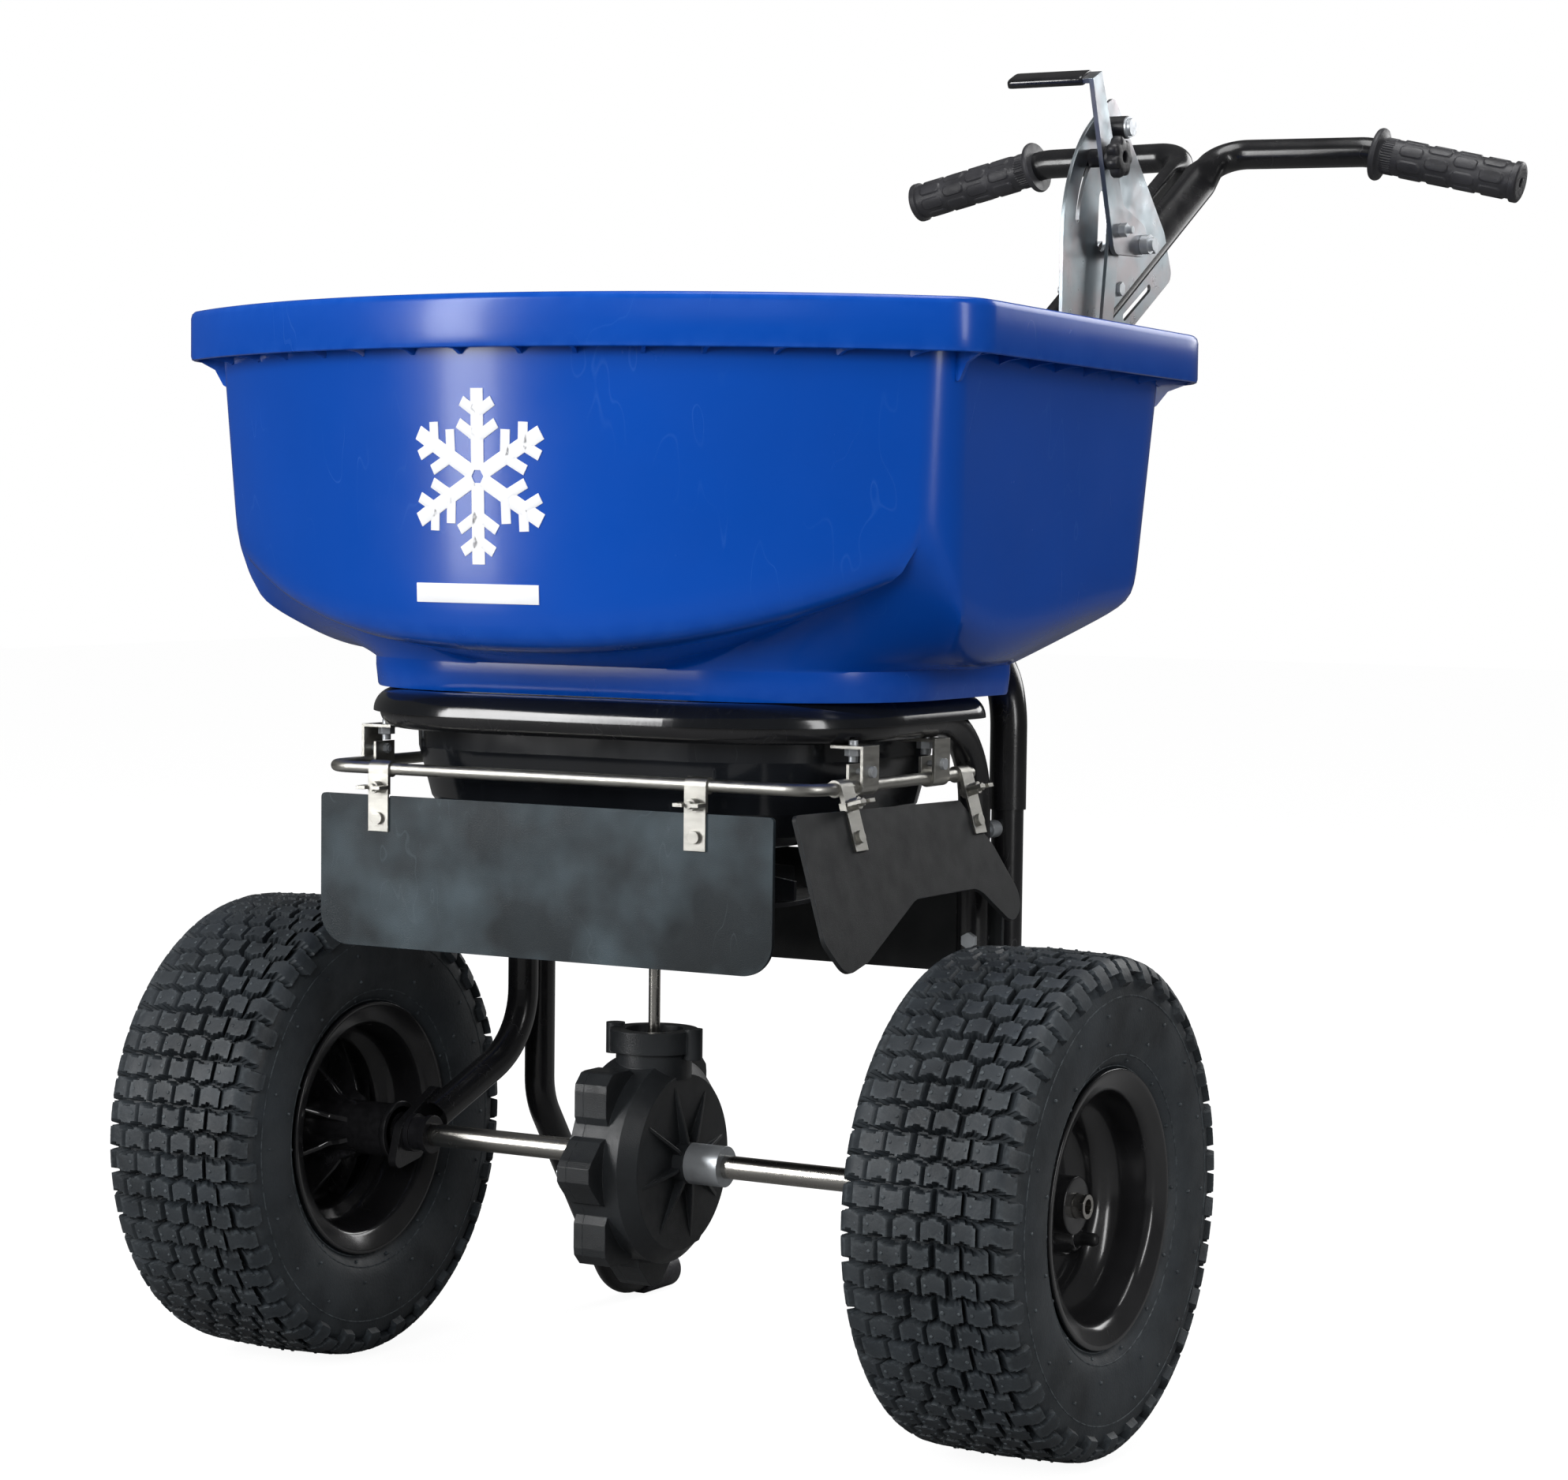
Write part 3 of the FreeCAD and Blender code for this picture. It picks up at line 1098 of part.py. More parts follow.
# ---- every node ----
def build():
    gearbox_left, gearbox_right = make_gearbox()
    sleeve, bumper_bolt = make_bumper()
    side_clips = [clip_at(y) for y in SIDE_CLIP_Y]
    side_screws = [s for y in SIDE_CLIP_Y for s in clip_screws_at(y)]
    front_clips = [clip_at(x) for x in FRONT_CLIP_X]
    front_screws = [s for x in FRONT_CLIP_X for s in clip_screws_at(x)]
    return {
        "hopper": make_hopper(),
        "hopper_pan": make_pan(),
        "hopper_screws": make_hopper_screws(),
        "gate_guides": make_gate_guides(),
        "gate_plate": make_gate(),
        "leg_hoop_frame": make_leg_hoop(),
        "frame_bolts": make_frame_bolts(),
        "frame_spacers": make_frame_spacers(),
        "rear_shield": make_rear_shield(),
        "handle_tube_left": make_handle_tube(-1),
        "handle_tube_right": make_handle_tube(1),
        "grips": make_grips(),
        "stand_legs": make_stand_legs(),
        "stand_feet": make_stand_feet(),
        "axle": make_axle(),
        "axle_pins": make_axle_pins(),
        "axle_collars": make_collars(),
        "collar_screws": make_collar_screws(),
        "axle_bushings": make_bushings(),
        "drive_rim": make_rim(1, AXLE_R + TOUCH),
        "drive_tyre": make_tyre(1),
        "drive_valve": valve_body(1),
        "free_rim": make_rim(-1, 11 + TOUCH),
        "free_tyre": make_tyre(-1),
        "free_valve": valve_body(-1),
        "free_wheel_bushings": make_wheel_bushings(),
        "gearbox_shell_left": gearbox_left,
        "gearbox_shell_right": gearbox_right,
        "gearbox_cap": make_gearbox_cap(),
        "gearbox_screws": make_gearbox_screws(),
        "shaft_bearings": make_bearings(),
        "drive_gear": make_drive_gear(),
        "pinion_gear": make_pinion(),
        "impeller_shaft": make_shaft(),
        "shaft_pins": make_shaft_pins(),
        "impeller": make_impeller(),
        "agitator": make_agitator(),
        "deflector_rod": make_rod(),
        "rod_brackets": make_rod_brackets(),
        "bracket_bolts": make_bracket_bolts(),
        "front_deflector": make_front([front_plate()]),
        "front_clips": make_front(front_clips),
        "front_clip_screws": make_front(front_screws),
        "side_deflector": make_side([side_plate()]),
        "side_clips": make_side(side_clips),
        "side_clip_screws": make_side(side_screws),
        "control_plate": make_control_plate(),
        "plate_bolts": make_plate_bolts(),
        "pivot_bolts": make_pivot_bolts(),
        "bumper_sleeve": sleeve,
        "bumper_bolt": bumper_bolt,
        "flow_lever": make_lever(),
        "lever_grip": make_lever_grip(),
        "link_bolt": make_link_bolt(),
        "knob_spacer": make_knob_spacer(),
        "stop_knob": make_knob(),
        "lever_link": flat_link(LINK_TOP, LINK_LOW, LINK_X, 10, 3, 3 + FIT),
        "gate_crank": make_crank(),
        "gate_rod": make_gate_rod(),
    }


def write(nodes):
    """Shift everything to the row frame and write one STEP file for each node."""
    os.makedirs("parts", exist_ok=True)
    shapes = {}
    for name, made in nodes.items():
        shapes[name] = Part.makeCompound(made) if isinstance(made, list) else made
    front = shapes["hopper"].optimalBoundingBox(False, False).YMin
    back = shapes["grips"].optimalBoundingBox(False, False).YMax
    shift = V(0, -(front + back) / 2, 0)
    print("row frame is moved along Y by", round(shift.y, 4))
    for name, shape in shapes.items():
        solids = len(shape.Solids)
        wanted = len(nodes[name]) if isinstance(nodes[name], list) else 1
        if solids != wanted or not shape.isValid():
            print("CHECK", name, "solids", solids, "of", wanted, "valid", shape.isValid())
        moved = shape.copy()
        moved.translate(shift)
        moved.exportStep("parts/" + name + ".step")


write(build())
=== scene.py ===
"""Looks of the walk-behind salt spreader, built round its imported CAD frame.

Shape functions take millimetres about the axle: X along the axle towards the drive wheel, Y back
towards the handlebar, Z up from the ground. point() turns them into the frame's metres.
"""
import json
import math
import random

import bmesh
import bpy
from mathutils import Matrix, Vector


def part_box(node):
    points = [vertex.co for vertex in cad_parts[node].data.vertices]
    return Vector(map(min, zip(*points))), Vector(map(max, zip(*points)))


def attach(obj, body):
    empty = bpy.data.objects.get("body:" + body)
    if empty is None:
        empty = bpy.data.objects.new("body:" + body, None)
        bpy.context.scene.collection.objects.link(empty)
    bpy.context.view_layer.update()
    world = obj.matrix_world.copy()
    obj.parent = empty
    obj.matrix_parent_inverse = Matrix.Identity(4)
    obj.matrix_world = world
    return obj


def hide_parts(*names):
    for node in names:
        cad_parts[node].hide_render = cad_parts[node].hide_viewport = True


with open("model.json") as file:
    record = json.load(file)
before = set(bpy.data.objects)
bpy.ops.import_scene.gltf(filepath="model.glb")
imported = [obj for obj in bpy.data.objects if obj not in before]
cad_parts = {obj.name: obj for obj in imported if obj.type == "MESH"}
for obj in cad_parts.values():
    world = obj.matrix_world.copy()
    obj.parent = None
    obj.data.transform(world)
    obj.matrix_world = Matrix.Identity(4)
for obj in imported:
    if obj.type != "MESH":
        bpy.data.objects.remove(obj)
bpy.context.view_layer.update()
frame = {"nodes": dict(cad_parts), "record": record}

MM = 0.001
AXLE_Z = 165.0
axle_low, axle_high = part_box("axle")
AXLE_Y = (axle_low.y + axle_high.y) / 2
TURN = 2 * math.pi
X, Z = Vector((1, 0, 0)), Vector((0, 0, 1))


def point(x, y, z):
    """A place given in millimetres about the axle, in the frame's metres."""
    return Vector((x * MM, y * MM + AXLE_Y, z * MM))


# ---- surfaces ----
class Shape:
    """Closed surfaces gathered into one mesh. Points are (x, y, z) in millimetres about the axle."""

    def __init__(self):
        self.points = []
        self.faces = []

    def add(self, rows, ring=False):
        """Skin rows of points that each run once round. A ring joins its last row to its first;
        otherwise a flat face closes each end."""
        first, count = len(self.points), len(rows[0])
        for row in rows:
            self.points.extend(row)
        spans = len(rows) if ring else len(rows) - 1
        for i in range(spans):
            a = first + i * count
            b = first + (i + 1) % len(rows) * count
            for j in range(count):
                k = (j + 1) % count
                self.faces.append((a + j, a + k, b + k, b + j))
        if not ring:
            last = first + (len(rows) - 1) * count
            self.faces.append(tuple(first + j for j in reversed(range(count))))
            self.faces.append(tuple(last + j for j in range(count)))
        return self

    def build(self, name, paint, body, slot=None, stands_for=(), sharp=35.0):
        """Make the object, mark edges sharper than the limit, and hang it on its CAD body."""
        mesh = bpy.data.meshes.new(name)
        mesh.from_pydata([point(*p) for p in self.points], [], self.faces)
        work = bmesh.new()
        work.from_mesh(mesh)
        bmesh.ops.recalc_face_normals(work, faces=work.faces)
        limit = math.radians(sharp)
        for face in work.faces:
            face.smooth = True
        for edge in work.edges:
            edge.smooth = edge.calc_face_angle(0.0) < limit
        work.to_mesh(mesh)
        work.free()
        mesh.materials.append(paint)
        made = bpy.data.objects.new(name, mesh)
        bpy.context.scene.collection.objects.link(made)
        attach(made, body)
        if stands_for:
            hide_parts(*stands_for)
        return made


def softened(corners, radius, steps=4):
    """Round a closed polygon of pairs; a corner may carry its own radius as a third value."""
    result = []
    count = len(corners)
    for i, corner in enumerate(corners):
        here = Vector(corner[:2])
        before = Vector(corners[i - 1][:2]) - here
        after = Vector(corners[(i + 1) % count][:2]) - here
        reach = corner[2] if len(corner) > 2 else radius
        cut = min(reach, before.length * 0.45, after.length * 0.45)
        start = here + before.normalized() * cut
        end = here + after.normalized() * cut
        for k in range(steps + 1):
            t = k / steps
            result.append(tuple(start * (1 - t) ** 2 + here * 2 * t * (1 - t) + end * t ** 2))
    return result


def lathe(shape, profile, place, steps=96):
    """Turn a closed profile of (along, radius) pairs; place gives the point for along, radius, angle."""
    rows = []
    for k in range(steps):
        angle = TURN * k / steps
        rows.append([place(along, radius, angle) for along, radius in profile])
    return shape.add(rows, ring=True)


def about_axle(x0, side=1):
    """Places for a lathe round the axle, counted outwards from the plane at x0."""
    def place(along, radius, angle):
        return x0 + side * along, radius * math.cos(angle), AXLE_Z + radius * math.sin(angle)
    return place


def about_line(start, direction):
    """Places for a lathe round any line."""
    axis = direction.normalized()
    first = axis.cross(Z if abs(axis.z) < 0.9 else X).normalized()
    second = axis.cross(first)

    def place(along, radius, angle):
        across, up = radius * math.cos(angle), radius * math.sin(angle)
        return tuple(start + axis * along + first * across + second * up)
    return place


def bent_path(corners, radii, step=4.0):
    """Points along straight runs joined by arcs; radii has one value for each inner corner."""
    path = [corners[0]]

    def run_to(end):
        start = path[-1]
        pieces = max(1, round((end - start).length / step))
        path.extend(start.lerp(end, k / pieces) for k in range(1, pieces + 1))
    for i, radius in enumerate(radii, 1):
        here = corners[i]
        u = (corners[i - 1] - here).normalized()
        w = (corners[i + 1] - here).normalized()
        half = u.angle(w) / 2
        reach = radius / math.tan(half)
        centre = here + (u + w).normalized() * (radius / math.sin(half))
        run_to(here + u * reach)
        start = path[-1] - centre
        end = here + w * reach - centre
        sweep = start.angle(end)
        pieces = max(3, round(sweep * radius / step * 1.5))
        for k in range(1, pieces + 1):
            a = sweep * k / pieces
            path.append(centre + (start * math.sin(sweep - a) + end * math.sin(a)) / math.sin(sweep))
    run_to(corners[-1])
    return path


def sweep(shape, path, section, first):
    """Carry a section along a path. section(distance) gives (u, v) pairs; u starts out along first."""
    rows = []
    distance = 0.0
    across = first
    for i, here in enumerate(path):
        before, after = path[max(i - 1, 0)], path[min(i + 1, len(path) - 1)]
        heading = (after - before).normalized()
        across = (across - heading * across.dot(heading)).normalized()
        up = heading.cross(across)
        if i:
            distance += (here - path[i - 1]).length
        rows.append([tuple(here + across * u + up * v) for u, v in section(distance)])
    return shape.add(rows)


def slab(shape, outline, place, thickness, bevel=0.5):
    """A flat plate with softened edges. place(a, b, depth) gives the point at that depth."""
    middle = sum((Vector(p) for p in outline), Vector((0, 0))) / len(outline)
    rows = []
    for depth, inset in ((0, bevel), (bevel, 0), (thickness - bevel, 0), (thickness, bevel)):
        row = []
        for p in outline:
            towards = middle - Vector(p)
            q = Vector(p) + towards.normalized() * min(inset, towards.length)
            row.append(place(q.x, q.y, depth))
        rows.append(row)
    return shape.add(rows)


# ---- finishes ----
def material(name, colour, roughness=0.4, metallic=0.0, vary=0.12, patch=9.0, grain=700.0, bump=0.12,
             edge=None, edge_amount=0.0, marks=0.0, mark_colour=None, stretch=(1, 1, 1), coat=0.0,
             rounding=0.0, tint=None, spread=0.22, shine=0.5):
    """A procedural finish: colour patches, fine bump, uneven roughness, fine scratches and lighter edges.

    Edges take the colour called edge: rubbed wear, and on the tyre also a painted highlight along the block
    edges. Rounding, in millimetres, softens sharp CAD edges.
    Tint is a second colour that shows in broad patches, as in plating. Shine is the mirror strength.
    """
    made = bpy.data.materials.new(name)
    made.use_nodes = True
    nodes, links = made.node_tree.nodes, made.node_tree.links
    shader = nodes["Principled BSDF"]
    place = nodes.new("ShaderNodeTexCoord").outputs["Object"]

    def noise(scale, detail=4.0, pull=(1, 1, 1), offset=0.0):
        mapping = nodes.new("ShaderNodeMapping")
        mapping.inputs["Scale"].default_value = pull
        mapping.inputs["Location"].default_value = (offset, offset * 0.7, offset * 1.3)
        links.new(place, mapping.inputs["Vector"])
        made_noise = nodes.new("ShaderNodeTexNoise")
        made_noise.inputs["Scale"].default_value = scale
        made_noise.inputs["Detail"].default_value = detail
        links.new(mapping.outputs["Vector"], made_noise.inputs["Vector"])
        return made_noise.outputs["Fac"]

    def remap(value, low, high, to_low=0.0, to_high=1.0):
        node = nodes.new("ShaderNodeMapRange")
        limits = {"From Min": low, "From Max": high, "To Min": to_low, "To Max": to_high}
        for key, number in limits.items():
            node.inputs[key].default_value = number
        links.new(value, node.inputs["Value"])
        return node.outputs["Result"]

    def calculate(kind, a, b):
        node = nodes.new("ShaderNodeMath")
        node.operation = kind
        for socket, value in zip(node.inputs, (a, b)):
            if isinstance(value, float):
                socket.default_value = value
            else:
                links.new(value, socket)
        return node.outputs["Value"]

    def mix(factor, a, b):
        node = nodes.new("ShaderNodeMix")
        node.data_type = "RGBA"
        links.new(factor, node.inputs["Factor"])
        for socket, value in ((node.inputs["A"], a), (node.inputs["B"], b)):
            if isinstance(value, tuple):
                socket.default_value = value + (1.0,)
            else:
                links.new(value, socket)
        return node.outputs["Result"]

    dark = tuple(c * (1 - vary) for c in colour)
    light = tuple(min(1.0, c * (1 + vary) + vary * 0.004) for c in colour)
    shade = mix(remap(noise(patch, 6.0, stretch), 0.35, 0.65), dark, light)
    if tint:
        shade = mix(remap(noise(patch * 1.7, 3.0, stretch, 3.1), 0.42, 0.66, 0.0, 0.75), shade, tint)
    rough = remap(noise(patch * 4, 5.0, stretch, 1.7), 0.3, 0.7,
                  roughness * (1 - spread), roughness * (1 + spread))
    if marks:
        lines = noise(patch * 5, 2.0, (1.0, 1.0, 0.35), 5.3)
        near = calculate("ABSOLUTE", calculate("SUBTRACT", lines, 0.5), 0.0)
        thin = remap(near, 0.0, 0.006, 1.0, 0.0)
        gate = remap(noise(patch * 2.3, 3.0, (1, 1, 1), 8.2), 0.5, 0.62)
        scratch = calculate("MULTIPLY", calculate("MULTIPLY", thin, gate), marks)
        shade = mix(scratch, shade, mark_colour or light)
        rough = calculate("ADD", rough, calculate("MULTIPLY", scratch, 0.2))
    if rounding:
        bevel = nodes.new("ShaderNodeBevel")
        bevel.samples = 4
        bevel.inputs["Radius"].default_value = rounding * MM
    # Lighter edges: rubbed wear, and on the tyre also a painted highlight along the tread block and pip
    # edges.
    if edge:
        geometry = nodes.new("ShaderNodeNewGeometry")
        if rounding:
            facing = nodes.new("ShaderNodeVectorMath")
            facing.operation = "DOT_PRODUCT"
            links.new(bevel.outputs["Normal"], facing.inputs[0])
            links.new(geometry.outputs["Normal"], facing.inputs[1])
            edge_wear_and_highlight = remap(facing.outputs["Value"], 0.985, 0.86)
        else:
            edge_wear_and_highlight = remap(geometry.outputs["Pointiness"], 0.51, 0.58)
        broken = remap(noise(patch * 14, 4.0, (1, 1, 1), 2.4), 0.4, 0.6)
        amount = calculate("MULTIPLY", calculate("MULTIPLY", edge_wear_and_highlight, broken), edge_amount)
        shade = mix(amount, shade, edge)
    links.new(shade, shader.inputs["Base Color"])
    links.new(rough, shader.inputs["Roughness"])
    shader.inputs["Metallic"].default_value = metallic
    shader.inputs["Specular IOR Level"].default_value = shine
    shader.inputs["Coat Weight"].default_value = coat
    shader.inputs["Coat Roughness"].default_value = 0.12
    relief = nodes.new("ShaderNodeBump")
    relief.inputs["Strength"].default_value = bump
    relief.inputs["Distance"].default_value = 0.0006
    links.new(noise(grain, 3.0, stretch, 0.9), relief.inputs["Height"])
    if rounding:
        links.new(bevel.outputs["Normal"], relief.inputs["Normal"])
    links.new(relief.outputs["Normal"], shader.inputs["Normal"])
    return made


hopper_blue = material("hopper_blue", (0.0005, 0.06, 0.38), 0.25, vary=0.05, patch=5, grain=260, bump=0.04,
                       edge=(0.03, 0.14, 0.6), edge_amount=0.3, marks=0.1,
                       mark_colour=(0.06, 0.2, 0.6), coat=0.15, spread=0.1, shine=0.3)
mark_white = material("mark_white", (0.82, 0.83, 0.85), 0.42, vary=0.03, patch=40, marks=0.25,
                      mark_colour=(0.45, 0.5, 0.7), bump=0.05)
pan_black = material("pan_black", (0.006, 0.007, 0.009), 0.16, vary=0.3, patch=10, grain=400, bump=0.04,
                     marks=0.25, mark_colour=(0.06, 0.065, 0.07), rounding=0.8, coat=0.4)
frame_black = material("frame_black", (0.009, 0.009, 0.01), 0.24, vary=0.25, patch=14, grain=900, bump=0.08,
                       edge=(0.06, 0.06, 0.065), edge_amount=0.5, marks=0.3,
                       mark_colour=(0.08, 0.08, 0.085), coat=0.3, rounding=0.6)
rim_black = material("rim_black", (0.011, 0.011, 0.012), 0.22, vary=0.3, patch=16, grain=800, bump=0.06,
                     edge=(0.05, 0.05, 0.055), edge_amount=0.4, marks=0.25,
                     mark_colour=(0.07, 0.07, 0.075), coat=0.55)
# The lighter edge colour is partly rubbed rubber and partly a painted highlight along the tread block and
# pip edges.
tyre_rubber = material("tyre_rubber", (0.021, 0.026, 0.031), 0.56, vary=0.35, patch=18, grain=500,
                       bump=0.35, edge=(0.085, 0.1, 0.11), edge_amount=0.75, marks=0.2,
                       mark_colour=(0.09, 0.1, 0.1), tint=(0.034, 0.04, 0.045), spread=0.15)
valve_rubber = material("valve_rubber", (0.012, 0.012, 0.013), 0.4, vary=0.25, patch=60, bump=0.15)
grip_rubber = material("grip_rubber", (0.029, 0.029, 0.033), 0.44, vary=0.25, patch=30, grain=1200,
                       bump=0.3, edge=(0.06, 0.06, 0.065), edge_amount=0.5)
zinc = material("zinc", (0.6, 0.63, 0.66), 0.38, 0.75, vary=0.1, patch=60, grain=1500, bump=0.1,
                edge=(0.72, 0.74, 0.76), edge_amount=0.4, marks=0.15, mark_colour=(0.3, 0.31, 0.32),
                rounding=0.5)
plated = material("plated", (0.36, 0.41, 0.44), 0.34, 1.0, vary=0.14, patch=16, grain=1300, bump=0.1,
                  edge=(0.7, 0.78, 0.8), edge_amount=0.7, marks=0.4, mark_colour=(0.2, 0.22, 0.24),
                  tint=(0.42, 0.37, 0.38), rounding=0.5)
stainless = material("stainless", (0.55, 0.54, 0.5), 0.4, 1.0, vary=0.08, patch=30, grain=900, bump=0.12,
                     stretch=(1, 1, 6), edge=(0.72, 0.71, 0.68), edge_amount=0.35, marks=0.15,
                     mark_colour=(0.25, 0.24, 0.23), rounding=0.35)
bright_bar = material("bright_bar", (0.6, 0.58, 0.54), 0.24, 1.0, vary=0.12, patch=22, grain=600, bump=0.08,
                      stretch=(0.2, 3, 3), marks=0.4, mark_colour=(0.22, 0.2, 0.17), rounding=0.4)
gearbox_black = material("gearbox_black", (0.018, 0.02, 0.022), 0.36, vary=0.25, patch=24, grain=1500,
                         bump=0.3, edge=(0.05, 0.055, 0.06), edge_amount=0.6, marks=0.2,
                         mark_colour=(0.07, 0.075, 0.08), rounding=1.0)
bearing_black = material("bearing_black", (0.012, 0.012, 0.014), 0.38, vary=0.25, patch=70, bump=0.2,
                         edge=(0.05, 0.05, 0.055), edge_amount=0.5, rounding=0.4)
gear_white = material("gear_white", (0.6, 0.57, 0.5), 0.45, vary=0.08, patch=50, bump=0.15,
                      edge=(0.3, 0.28, 0.24), edge_amount=0.4, rounding=0.2)
impeller_black = material("impeller_black", (0.014, 0.016, 0.021), 0.4, vary=0.3, patch=22, bump=0.2,
                          edge=(0.06, 0.06, 0.07), edge_amount=0.5, marks=0.4, rounding=0.5)
sheet_black = material("sheet_black", (0.013, 0.014, 0.015), 0.5, vary=0.14, patch=14, grain=1600, bump=0.2,
                       edge=(0.1, 0.13, 0.16), edge_amount=0.7, marks=0.1, mark_colour=(0.08, 0.09, 0.1),
                       rounding=0.4, spread=0.15, shine=0.3)
scuffed_sheet = material("scuffed_sheet", (0.012, 0.018, 0.022), 0.38, vary=0.4, patch=8, grain=1600,
                         bump=0.22, edge=(0.1, 0.13, 0.16), edge_amount=0.7, marks=0.2,
                         mark_colour=(0.12, 0.15, 0.17), tint=(0.062, 0.088, 0.104), rounding=0.4,
                         spread=0.25, shine=0.3)
vinyl = material("vinyl", (0.008, 0.008, 0.009), 0.16, vary=0.3, patch=50, grain=300, bump=0.2,
                 edge=(0.05, 0.05, 0.05), edge_amount=0.3, coat=0.5)
knob_black = material("knob_black", (0.014, 0.014, 0.016), 0.4, vary=0.25, patch=70, bump=0.25,
                      edge=(0.06, 0.06, 0.065), edge_amount=0.6, rounding=0.7)

FINISHES = {
    "hopper_plastic": hopper_blue, "pan_plastic": pan_black, "frame_paint": frame_black,
    "rim_paint": rim_black, "tyre_rubber": tyre_rubber, "valve_rubber": valve_rubber,
    "grip_rubber": grip_rubber, "zinc": zinc, "zinc_plate": plated, "stainless": stainless,
    "axle_steel": bright_bar, "gearbox_plastic": gearbox_black, "bearing_plastic": bearing_black,
    "gear_plastic": gear_white, "impeller_plastic": impeller_black, "shield_plastic": sheet_black,
    "vinyl": vinyl, "knob_plastic": knob_black,
}
for part in frame["record"]["subparts"]:
    node = frame["nodes"][part["node"]]
    node.data.materials.clear()
    node.data.materials.append(FINISHES[part["material_slot"]])
frame["nodes"]["front_deflector"].data.materials[0] = scuffed_sheet


# ---- hopper ----
RIM = (305, -228, 250, 40, 62, 82)         # half width, front, back, front and back corner radius, bow
WALL_HIGH = (283, -212, 226, 36, 52, 76)
WALL_LOW = (276, -207, 209, 44, 48, 74)
BASE_TOP = (211, -109, 134, 114, 30, 0)
BASE_BOTTOM = (210, -108, 133, 114, 30, 0)
OUTLET = (168, -100, 105, 84, 30, 0)
RIM_TOP, RIM_BOTTOM, RIM_TILT = 736.0, 703.0, math.radians(1.7)
HIGH_Z, LOW_Z, BASE_Z, FLOOR_Z = 712.0, 576.0, 506.0, 486.0
STRETCHES = (44, 30, 44, 18, 32)           # points along half a front, corner, side, corner and back
HOPPER_WALL = 4.0
FRONT_CORNER = STRETCHES[0] + STRETCHES[1] // 2
BACK_CORNER = sum(STRETCHES[:3]) + STRETCHES[3] // 2
BACK_MIDDLE = sum(STRETCHES)


def outline(size, inset=0.0):
    """(x, y) points once round a D shape, from the middle of the front towards +X."""
    half, front, back, front_r, back_r, bow = size
    half, front, back = half - inset, front + inset, back - inset
    front_r, back_r = max(front_r - inset, 4), max(back_r - inset, 4)
    cx, cy = half - front_r, front + bow + front_r
    nose, corner, side, rear, tail = STRETCHES
    points = []
    turn = math.radians(90)
    if bow:
        nose_r = (cx ** 2 + bow ** 2 + 2 * bow * front_r) / (2 * bow)
        turn = math.acos(cx / (nose_r - front_r))
        end = math.atan2(cx + front_r * math.cos(turn), nose_r + front - cy + front_r * math.sin(turn))
        for k in range(nose):
            a = end * k / nose
            points.append((nose_r * math.sin(a), front + nose_r - nose_r * math.cos(a)))
    else:
        points += [(cx * k / nose, front) for k in range(nose)]
    for k in range(corner):
        a = turn * (1 - k / corner)
        points.append((cx + front_r * math.cos(a), cy - front_r * math.sin(a)))
    points += [(half, cy + (back - back_r - cy) * k / side) for k in range(side)]
    for k in range(rear):
        a = math.radians(90) * k / rear
        points.append((half - back_r + back_r * math.cos(a), back - back_r + back_r * math.sin(a)))
    points += [((half - back_r) * (1 - k / tail), back) for k in range(tail + 1)]
    return points + [(-x, y) for x, y in reversed(points[1:-1])]


def blend(a, b, t):
    return tuple(p + (q - p) * t for p, q in zip(a, b))


def tipped(x, y, z):
    """Tip the hopper back as its CAD node is: level up to the shoulder, and most at the rim."""
    tilt = RIM_TILT * max(0.0, z - BASE_Z) / (RIM_TOP - BASE_Z)
    return x, y * math.cos(tilt), z - y * math.sin(tilt)


# Where the wall turns under, as (place round the hopper, height, fullness of the underside). A low
# fullness is a round lobe, and 1 or more a flat or hollow slope down to the base.
TURNS_UNDER = (
    (0, 520.0, 0.85),
    (STRETCHES[0] + 4, 577.0, 1.35),
    (STRETCHES[0] + STRETCHES[1] + 12, 536.0, 0.28),
    (BACK_CORNER, 551.0, 1.0),
    (BACK_MIDDLE, 524.0, 0.85),
)
FRONT_SMILE = 2.4                          # how late the front's crease starts to climb
BELOW, ABOVE = 16, 12                      # rows of points under and over the crease
CROWDING = 1.7                             # how much the rows crowd towards the base and the crease
SMOOTHING = 6                              # passes that round the crease
WALL_TOP = 727.0


def turn_under(i):
    """The crease's height and the underside's fullness at a place round the hopper."""
    i = min(i, 2 * BACK_MIDDLE - i)
    for low, high in zip(TURNS_UNDER, TURNS_UNDER[1:]):
        if i <= high[0]:
            t = (i - low[0]) / (high[0] - low[0])
            share = (1 - math.cos(math.pi * t)) / 2
            if low[0] == 0:
                share = t ** FRONT_SMILE
            return blend(low[1:], high[1:], share)
    return TURNS_UNDER[-1][1:]


def wall_columns(inset, lift):
    """For every place round the hopper, its wall's (x, y, z) points from the base up to the rim."""
    high, low, base = outline(WALL_HIGH, inset), outline(WALL_LOW, inset), outline(BASE_TOP, inset)
    columns = []
    for i in range(len(high)):
        crease, power = turn_under(i)

        def straight(z):
            return blend(low[i], high[i], (z - LOW_Z) / (HIGH_Z - LOW_Z))
        column = []
        for k in range(BELOW + 1):
            t = (k / BELOW) ** CROWDING
            x, y = blend(base[i], straight(crease), t ** power)
            column.append((x, y, BASE_Z + lift + (crease - BASE_Z) * t))
        for k in range(1, ABOVE + 1):
            t = (k / ABOVE) ** CROWDING
            z = crease + (WALL_TOP - crease) * t
            x, y = straight(min(z, HIGH_Z))
            column.append((x, y, z + lift * (1 - t)))
        for _ in range(SMOOTHING):
            smoother = list(column)
            for k in range(2, BELOW + 6):
                pulled = zip(column[k - 1], column[k], column[k + 1])
                smoother[k] = tuple((a + 2 * b + c) / 4 for a, b, c in pulled)
            column = smoother
        columns.append(column)
    return columns


def flat_row(points, z):
    return [(x, y, z) for x, y in points]


